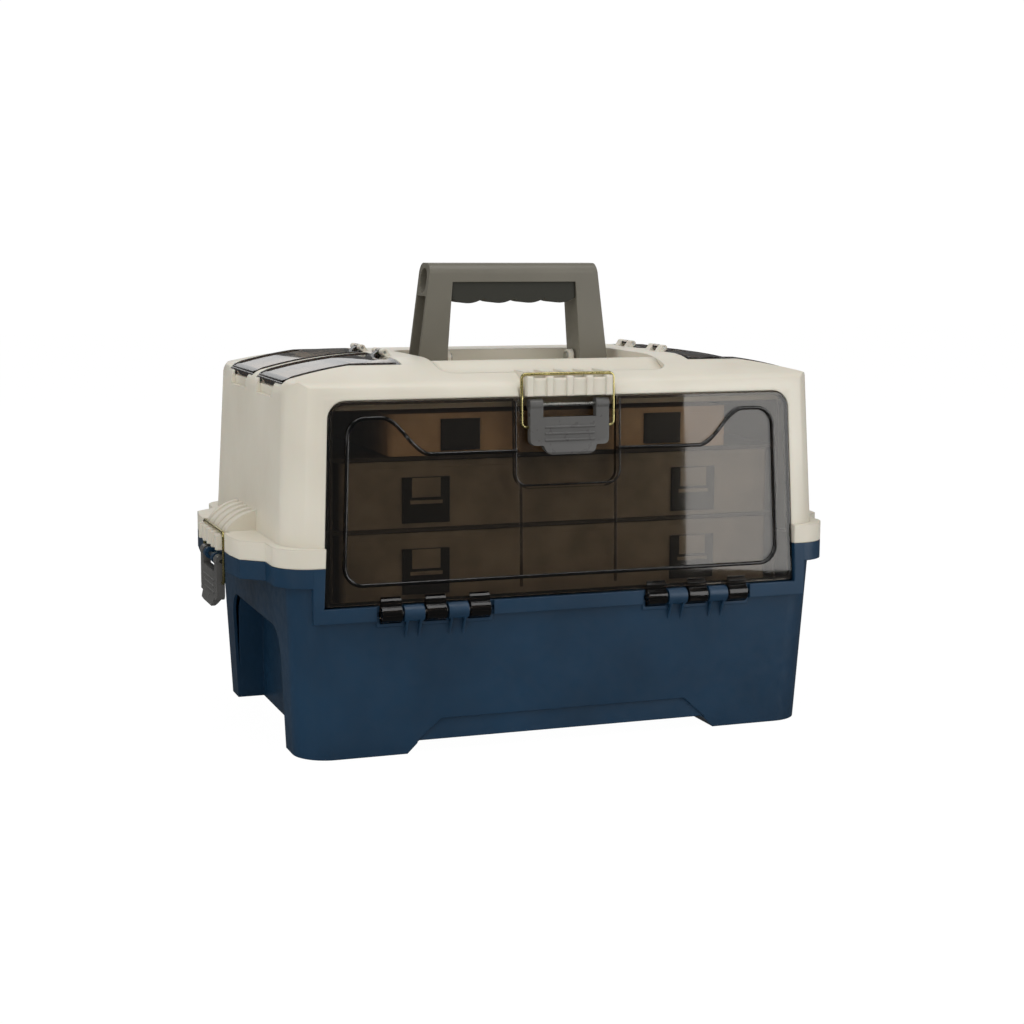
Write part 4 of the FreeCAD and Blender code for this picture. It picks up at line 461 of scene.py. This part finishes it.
@dataclass
class Studio:
    """Pale floor, soft lamps and the camera at the photograph's angle."""

    focal_px: float = 1931.35
    frame_px: float = 1024.0
    place: Vector = field(default_factory=lambda: Vector((-0.54756, -1.50202, 0.39425)))
    yaw: float = 20.162
    pitch: float = 8.264
    roll: float = 0.367
    sky: float = 0.42
    mirrored_sky: float = 0.1
    mirrored_floor: float = 0.08
    floor_glow_share: float = 0.97
    floor_half: float = 6.0

    def camera(self) -> None:
        """Sets the camera where the photograph was taken from."""
        yaw, pitch, roll = [math.radians(v) for v in (self.yaw, self.pitch, self.roll)]
        ahead = Vector((math.sin(yaw) * math.cos(pitch), math.cos(yaw) * math.cos(pitch), -math.sin(pitch)))
        right = Vector((math.cos(yaw), -math.sin(yaw), 0))
        up = right.cross(ahead)
        across = right * math.cos(roll) + up * math.sin(roll)
        above = up * math.cos(roll) - right * math.sin(roll)
        lens = bpy.data.cameras.new("camera")
        lens.sensor_width = 36.0
        lens.lens = self.focal_px * lens.sensor_width / self.frame_px
        lens.clip_start = 0.05
        item = bpy.data.objects.new("camera", lens)
        turned = Matrix((across, above, -ahead)).transposed().to_4x4()
        item.matrix_world = Matrix.Translation(self.place) @ turned
        bpy.context.scene.collection.objects.link(item)
        bpy.context.scene.camera = item

    def lamp(self, name: str, place: tuple, target: tuple, size: tuple, glow: float,
             lights: bool = True) -> None:
        """A soft box.

        Args:
            name: the lamp's name.
            place: where it hangs.
            target: where it points.
            size: its width and height in metres.
            glow: how bright its face is, where a white card in full light is 1.
            lights: whether it lights matt surfaces, or is only seen mirrored.
        """
        light = bpy.data.lights.new(name, "AREA")
        light.shape = "RECTANGLE"
        light.size, light.size_y = size
        light.energy = glow * math.pi * size[0] * size[1]
        item = bpy.data.objects.new(name, light)
        item.location = place
        item.rotation_euler = (Vector(target) - Vector(place)).to_track_quat("-Z", "Y").to_euler()
        item.visible_diffuse = lights
        bpy.context.scene.collection.objects.link(item)

    def world(self) -> None:
        """Even grey light all round, seen as white by the camera."""
        world = bpy.data.worlds.new("studio")
        bpy.context.scene.world = world
        world.use_nodes = True
        tree = world.node_tree
        tree.nodes.clear()
        ray = add(tree, "ShaderNodeLightPath")
        grey = add(tree, "ShaderNodeBackground", {"Color": (1, 1, 1, 1), "Strength": self.sky})
        white = add(tree, "ShaderNodeBackground", {"Color": (1, 1, 1, 1), "Strength": CAMERA_WHITE})
        dim = add(tree, "ShaderNodeBackground", {"Color": (1, 1, 1, 1), "Strength": self.mirrored_sky})
        shiny = add(tree, "ShaderNodeMixShader",
                    links={0: ray.outputs["Is Glossy Ray"], 1: grey.outputs[0], 2: dim.outputs[0]})
        mix = add(tree, "ShaderNodeMixShader",
                  links={0: ray.outputs["Is Camera Ray"], 1: shiny.outputs[0], 2: white.outputs[0]})
        add(tree, "ShaderNodeOutputWorld", links={"Surface": mix.outputs[0]})

    def floor(self) -> None:
        """A wide pale floor that keeps the object's shadow."""
        mesh = bpy.data.meshes.new("floor")
        wide = self.floor_half
        mesh.from_pydata([(-wide, -wide, 0), (wide, -wide, 0), (wide, wide, 0), (-wide, wide, 0)], [],
                         [(0, 1, 2, 3)])
        item = bpy.data.objects.new("floor", mesh)
        bpy.context.scene.collection.objects.link(item)
        material, tree = new_material("painted_floor")
        matt = add(tree, "ShaderNodeBsdfDiffuse", {"Color": linear("F4F4F2")})
        dark = add(tree, "ShaderNodeEmission", {"Color": (1, 1, 1, 1), "Strength": self.mirrored_floor})
        glow = add(tree, "ShaderNodeEmission", {"Color": (1, 1, 1, 1), "Strength": CAMERA_WHITE})
        ray = add(tree, "ShaderNodeLightPath")
        share = add(tree, "ShaderNodeMath", {1: self.floor_glow_share}, {0: ray.outputs["Is Camera Ray"]},
                    operation="MULTIPLY")
        shiny = add(tree, "ShaderNodeMixShader",
                    links={0: ray.outputs["Is Glossy Ray"], 1: matt.outputs[0], 2: dark.outputs[0]})
        mix = add(tree, "ShaderNodeMixShader",
                  links={0: share.outputs[0], 1: shiny.outputs[0], 2: glow.outputs[0]})
        add(tree, "ShaderNodeOutputMaterial", links={"Surface": mix.outputs[0]})
        mesh.materials.append(material)

    def build(self) -> None:
        """Sets the whole studio."""
        bpy.context.scene.view_settings.view_transform = "Standard"
        self.camera()
        self.world()
        self.floor()
        middle = (0.0, 0.0, 0.15)
        self.lamp("right_softbox", (0.899, -0.828, 0.56), (0.228, -0.088, 0.56), (0.9, 1.08), 2.15, False)
        self.lamp("right_fill", (1.9, -1.5, 0.8), middle, (1.4, 1.4), 1.1)
        self.lamp("top_softbox", (-0.1, -0.5, 2.3), middle, (2.2, 1.8), 1.9)
        self.lamp("left_softbox", (-2.1, -1.3, 1.1), middle, (1.4, 1.6), 1.5)
        self.lamp("back_softbox", (0.3, 2.4, 1.3), middle, (2.0, 1.4), 0.8)


@dataclass
class Shells:
    """The base tub and the lid housing."""

    base: str = "base_tub"
    lid: str = "lid_shell"
    lid_crease_degrees: float = 46.0
    dish_columns: int = 24
    well_half: float = 93.9
    well_front: float = -111.9
    well_corner: float = 12.0
    well_floor: float = 276.4
    fill_x: float = 209.0
    fill_y: float = 120.0
    fill_radius: float = 2.0
    fill_heights: tuple = (261.5, 268.6)
    dish: tuple = ((-111.9, 287.2), (-108.0, 286.8), (-103.0, 287.0), (-98.0, 288.2), (-93.0, 290.6),
                   (-89.0, 293.0), (-86.0, 294.5), (-83.0, 295.3), (-82.0, 295.1))

    def hand_dish(self) -> bpy.types.Object:
        """The sloped dish before the handle, which fills the front of the well up to the lid's top."""
        rows = []
        for y, z in self.dish:
            cut = max(self.well_corner - (y - self.well_front), 0.0)
            half = self.well_half - self.well_corner + math.sqrt(max(self.well_corner ** 2 - cut ** 2, 0.0))
            rows.append((y, z, half))
        work = bmesh.new()
        count = self.dish_columns
        upper, lower = [], []
        for y, z, half in rows:
            places = [half * (2 * i / count - 1) for i in range(count + 1)]
            upper.append([work.verts.new(Vector((x, y, z)) * MM) for x in places])
            lower.append([work.verts.new(Vector((x, y, self.well_floor)) * MM) for x in places])
        for i in range(len(rows) - 1):
            for k in range(count):
                work.faces.new((upper[i][k], upper[i][k + 1], upper[i + 1][k + 1], upper[i + 1][k]))
                work.faces.new((lower[i][k], lower[i + 1][k], lower[i + 1][k + 1], lower[i][k + 1]))
            work.faces.new((upper[i][0], upper[i + 1][0], lower[i + 1][0], lower[i][0]))
            work.faces.new((upper[i][count], lower[i][count], lower[i + 1][count], upper[i + 1][count]))
        for k in range(count):
            work.faces.new((upper[0][k], lower[0][k], lower[0][k + 1], upper[0][k + 1]))
            work.faces.new((upper[-1][k], upper[-1][k + 1], lower[-1][k + 1], lower[-1][k]))
        bmesh.ops.recalc_face_normals(work, faces=work.faces)
        for face in work.faces:
            face.smooth = abs(face.normal.z) > 0.3
        return seated(drawn("hand_dish", work), "lid", Slot.CREAM)

    def corner_fills(self, tree: bpy.types.NodeTree) -> None:
        """A short post inside each rear corner, over the small opening that the CAD's lid has there.

        The real lid has no such opening. The CAD still has it.

        Args:
            tree: the tree that makes round rod along a path.
        """
        for name, side in (("left", -1), ("right", 1)):
            points = [Vector((side * self.fill_x, self.fill_y, z)) * MM for z in self.fill_heights]
            post = rod("lid_corner_fill_" + name, points, tree, self.fill_radius, 0.0, Slot.CREAM)
            seated(post, "lid", Slot.CREAM)

    def build(self, tree: bpy.types.NodeTree) -> None:
        """Dresses both shells and adds the dish and the corner posts.

        Args:
            tree: the tree that makes round rod along a path.
        """
        moulding(self.base, Slot.NAVY)
        moulding(self.lid, Slot.CREAM, self.lid_crease_degrees)
        self.hand_dish()
        self.corner_fills(tree)


@dataclass
class Door:
    """The smoke front door with its raised line, latch bay and hinge knuckles."""

    panel: str = "door_panel"
    bay_half_width: float = 42.0
    bay_low: float = 93.0
    line_side: float = 179.1
    line_low: float = 22.36
    line_high: float = 146.76
    line_dip: float = 118.76
    dip_near: float = 111.55
    dip_far: float = 147.44
    bead_radius: float = 1.5
    bead_depth: float = -0.3
    bay_rim: float = 0.8
    bay_high: float = 157.0
    bay_bend: float = 9.0
    corner_bend: float = 14.0
    side_lean_degrees: float = 2.25
    dip_steps: int = 12
    lean_degrees: float = 2.25
    crease_degrees: float = 30.0
    hinge: Vector = field(default_factory=lambda: Vector((0.0, -139.35, 110.6)) * MM)
    line_depth_mm: float = -0.25
    skin_mm: float = 2.9

    def half_line(self) -> list[tuple[float, float]]:
        """The raised line's right half, from the foot's corner up and round to the dip."""
        lean = math.tan(math.radians(self.side_lean_degrees))
        narrow = self.line_side - (self.line_high - self.line_low) * lean
        points = [(self.line_side, self.line_low), (narrow, self.line_high)]
        wide, tall = self.dip_far - self.dip_near, self.line_high - self.line_dip
        for step in range(self.dip_steps + 1):
            share = step / self.dip_steps
            fall = share * share * (3 - 2 * share)
            points.append((self.dip_far - wide * share, self.line_high - tall * fall))
        return points

    def bead(self, tree: bpy.types.NodeTree) -> None:
        """The thick bead along the raised line, and the thin one round the latch bay, both in the darker
        smoke copy, which is painted shade.

        Args:
            tree: the tree that makes round rod along a path.
        """
        half = self.half_line() + [(self.bay_half_width, self.line_dip)]
        line = [(-x, z) for x, z in reversed(half)] + half
        low = self.bay_low - self.bay_rim
        side = self.bay_half_width + self.bay_rim
        bay = [(-side, self.bay_high), (-side, low), (side, low), (side, self.bay_high)]
        leant = Matrix.Rotation(-math.radians(self.lean_degrees), 3, "X")
        for name, path, radius, bend in (("line", line, self.bead_radius, self.corner_bend),
                                         ("bay", bay, self.bay_rim, self.bay_bend)):
            points = [leant @ (Vector((x, self.bead_depth, z)) * MM) + self.hinge for x, z in path]
            # Both beads are real raised geometry, and their darker smoke copy is painted shade along the line
            # and the bay.
            bead = rod("door_%s_bead" % name, points, tree, radius, bend, Slot.EDGE)
            seated(bead, body_of(self.panel), Slot.EDGE)

    def build(self, tree: bpy.types.NodeTree) -> None:
        """Dresses the door with painted shade where one looks along the plastic: the raised line, ribs and
        rim get a darker smoke copy.

        Args:
            tree: the tree that makes round rod along a path.
        """
        self.bead(tree)
        item = moulding(self.panel, Slot.SMOKE, self.crease_degrees)
        item.data.materials.append(Slot.EDGE.material())
        upright = Matrix.Rotation(math.radians(self.lean_degrees), 3, "X")
        for face in item.data.polygons:
            centre = upright @ (face.center - self.hinge) / MM
            facing = abs((upright @ face.normal).y)
            upright_face = FLAT_FACING < facing
            bay_floor = upright_face and abs(centre.x) < self.bay_half_width and self.bay_low < centre.z
            # Painted shade: the raised line, the upright faces and the rim behind the skin get the darker
            # smoke copy.
            painted_shade_face = centre.y < self.line_depth_mm or facing < FLAT_FACING or self.skin_mm < centre.y
            if painted_shade_face and not bay_floor:
                face.material_index = 1


class Side(Enum):
    """Where a latch sits: its body's first name, the wire's foot and the turn about the upright axis."""

    FRONT = ("front", (0.0, -133.79, 246.99), 0.0)
    LEFT = ("left", (-248.0, 0.0, 121.4), -90.0)
    RIGHT = ("right", (248.0, 0.0, 121.4), 90.0)


@dataclass
class Latch:
    """A lever and the wire bail that it pulls down over a catch."""

    side: Side
    half_width: float = 37.6
    height: float = 40.4
    hook: float = 7.5
    wire_radius: float = 1.2
    bend_radius: float = 3.6
    lean_degrees: float = 2.25

    def path(self) -> list[Vector]:
        """The wire's corners from one hook to the other, in metres."""
        _, foot, turn = self.side.value
        lean = math.radians(self.lean_degrees) if self.side is Side.FRONT else 0.0
        end = self.half_width - self.hook
        wide, tall = self.half_width, self.height
        flat = [(-end, 0), (-wide, 0), (-wide, tall), (wide, tall), (wide, 0), (end, 0)]
        spin = Matrix.Rotation(math.radians(turn), 3, "Z")
        points = []
        for x, up in flat:
            local = Vector((x, up * math.sin(lean), up * math.cos(lean)))
            points.append((spin @ local + Vector(foot)) * MM)
        return points

    def build(self, tree: bpy.types.NodeTree) -> None:
        """Dresses the lever and bends the wire.

        Args:
            tree: the tree that makes wire.
        """
        name = self.side.value[0]
        moulding(name + "_latch_lever", Slot.LATCH)
        wire = rod(name + "_bail_wire", self.path(), tree, self.wire_radius, self.bend_radius, Slot.WIRE)
        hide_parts(name + "_latch_bail")
        seated(wire, name + "_bail", Slot.WIRE)


@dataclass
class Handle:
    """The folding handle and its rubber grip."""

    def build(self) -> None:
        """Dresses both parts."""
        moulding("handle_frame", Slot.HANDLE)
        moulding("handle_grip", Slot.GRIP)


@dataclass
class TopLids:
    """Four smoke lids over the top compartments."""

    places: tuple = ("front_left", "rear_left", "front_right", "rear_right")

    bead_radius: float = 0.9
    bead_inset: float = 2.0
    bead_bend: float = 3.0
    bead_rise_share: float = 0.25
    near_x: float = 120.0
    far_x: float = 213.6
    near_y: float = 7.0
    far_y: float = 92.0
    step_count: int = 12
    above: float = 500.0

    def bead(self, place: str, tree: bpy.types.NodeTree) -> None:
        """A thin raised bead round a lid's top, where the real one is thick and looks dark; the bead's darker
        smoke copy is painted shade for that dark look.

        Args:
            place: which of the four lids.
            tree: the tree that makes round rod along a path.
        """
        node = frame["nodes"]["top_lid_" + place]
        side = 1 if "right" in place else -1
        way = 1 if "rear" in place else -1
        near, far = self.near_x + 2 * self.bead_inset, self.far_x - self.bead_inset
        low, high = self.near_y + self.bead_inset, self.far_y - self.bead_inset
        across = [near + (far - near) * i / self.step_count for i in range(self.step_count + 1)]
        plan = [(x, low) for x in across] + [(x, high) for x in reversed(across)]
        points = []
        for x, y in plan:
            start = Vector((side * x, way * y, self.above)) * MM
            hit, spot, _, _ = node.ray_cast(start, Vector((0, 0, -1)))
            if not hit:
                raise ValueError("no lid under the bead at %.1f, %.1f" % (x, y))
            points.append(Vector((spot.x, spot.y, spot.z + self.bead_rise_share * self.bead_radius * MM)))
        bead = rod("top_lid_%s_bead" % place, points, tree, self.bead_radius, self.bead_bend, Slot.EDGE, True)
        seated(bead, "top_lid_" + place, Slot.EDGE)

    def build(self, tree: bpy.types.NodeTree) -> None:
        """Dresses each lid, with painted shade from a darker smoke copy along its upright rims, and beads it.

        Args:
            tree: the tree that makes round rod along a path.
        """
        for place in self.places:
            self.bead(place, tree)
            item = moulding("top_lid_" + place, Slot.TOP)
            item.data.materials.append(Slot.EDGE.material())
            for face in item.data.polygons:
                # Painted shade: upright rim faces get the darker smoke copy.
                if abs(face.normal.z) < FLAT_FACING:
                    face.material_index = 1


@dataclass
class UtilityBox:
    """A clear box with a snap cover, two latches and loose cross dividers."""

    name: str
    lane_count: int = 4
    plate_count: int = 9
    skin: float = 1.8
    slot: Slot = Slot.BOX
    plate_thickness: float = 1.1
    plate_end_gap: float = 5.5
    plate_top_gap: float = 12.0
    window_half_share: float = 0.30
    window_low_share: float = 0.56
    bar_half_share: float = 0.34
    bar_low_share: float = 0.42
    bar_high_share: float = 0.50
    window_edge: float = 0.2

    def latch_window(self, node: str) -> None:
        """The thumb window at a latch's top and the bar across it.

        Args:
            node: the latch's CAD node.
        """
        low, high = [Vector(c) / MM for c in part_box(node)]
        wide, tall = high.x - low.x, high.z - low.z
        middle = (low.x + high.x) / 2
        front = low.y
        pane, bar = self.window_half_share * wide, self.bar_half_share * wide
        blocks = (((middle - pane, front - 0.25, low.z + self.window_low_share * tall),
                   (middle + pane, front + 0.6, high.z - 0.5)),
                  ((middle - bar, front - 0.8, low.z + self.bar_low_share * tall),
                   (middle + bar, front + 0.6, low.z + self.bar_high_share * tall)))
        work = bmesh.new()
        for start, stop in blocks:
            size = [stop[i] - start[i] for i in range(3)]
            centre = Vector([(stop[i] + start[i]) / 2 for i in range(3)])
            turned = Matrix.Translation(centre * MM) @ Matrix.Diagonal([v * MM for v in size] + [1.0])
            made = bmesh.ops.create_cube(work, size=1.0, matrix=turned)["verts"]
            edges = {edge for vert in made for edge in vert.link_edges}
            bmesh.ops.bevel(work, geom=list(edges), offset=self.window_edge * MM, segments=2, affect="EDGES",
                            profile=0.5)
        seated(drawn(node + "_window", work), "box_" + self.name, self.slot)

    def dividers(self, tree: bpy.types.NodeTree) -> None:
        """Stands the cross dividers in each lane.

        Args:
            tree: the tree that makes plates.
        """
        low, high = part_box("box_%s_tray" % self.name)
        skin = self.skin * MM
        lane = (high[1] - low[1] - 2 * skin) / self.lane_count
        tall = high[2] - low[2] - self.plate_top_gap * MM
        middle_z = low[2] + 2 * skin + tall / 2
        points = []
        for row in range(self.lane_count):
            y = low[1] + skin + lane * (row + 0.5)
            count = self.plate_count - row
            for i in range(count):
                share = (i + 1) / (count + 1)
                points.append(Vector((low[0] + (high[0] - low[0]) * share, y, middle_z)))
        plates = grown("box_%s_dividers" % self.name, points, [], tree,
                       {"Thickness": self.plate_thickness * MM, "Depth": lane - self.plate_end_gap * MM,
                        "Height": tall, "Material": self.slot.material()})
        seated(plates, "box_" + self.name, self.slot)

    def build(self, tree: bpy.types.NodeTree) -> None:
        """Dresses the box and fills in its dividers.

        Args:
            tree: the tree that makes plates.
        """
        for part in ("tray", "cover"):
            moulding("box_%s_%s" % (self.name, part), self.slot)
        for side in ("left", "right"):
            node = "box_%s_latch_%s" % (self.name, side)
            moulding(node, Slot.BOX_LATCH)
            if self.slot is Slot.BOX:
                self.latch_window(node)
        self.dividers(tree)


@dataclass
class Rack:
    """The slide rack inside the lid."""

    nodes: tuple = ("rack_side_left", "rack_side_right", "rack_shelf_low", "rack_shelf_middle",
                    "rack_shelf_high")

    def build(self) -> None:
        """Dresses the rack."""
        for node in self.nodes:
            moulding(node, Slot.RACK)


@dataclass
class Pins:
    """Every steel hinge pin."""

    crease_degrees: float = 40.0

    def build(self) -> None:
        """Dresses each node whose name says that it is a pin."""
        for node in sorted(frame["nodes"]):
            if "_pin" in node:
                moulding(node, Slot.PIN, self.crease_degrees)


def main() -> None:
    """Builds the studio and every sub-assembly."""
    logging.basicConfig(level=logging.INFO, format="%(name)s: %(message)s")
    Studio().build()
    wires, plates = wire_tree(), plate_tree()
    Shells().build(wires)
    Door().build(wires)
    for side in Side:
        Latch(side).build(wires)
    Handle().build()
    TopLids().build(wires)
    Rack().build()
    for name, count, slot in (("low", 9, Slot.BOX), ("middle", 9, Slot.BOX), ("high", 7, Slot.BROWN_BOX)):
        UtilityBox(name, plate_count=count, slot=slot).build(plates)
    Pins().build()


if __name__ == "__main__":
    main()
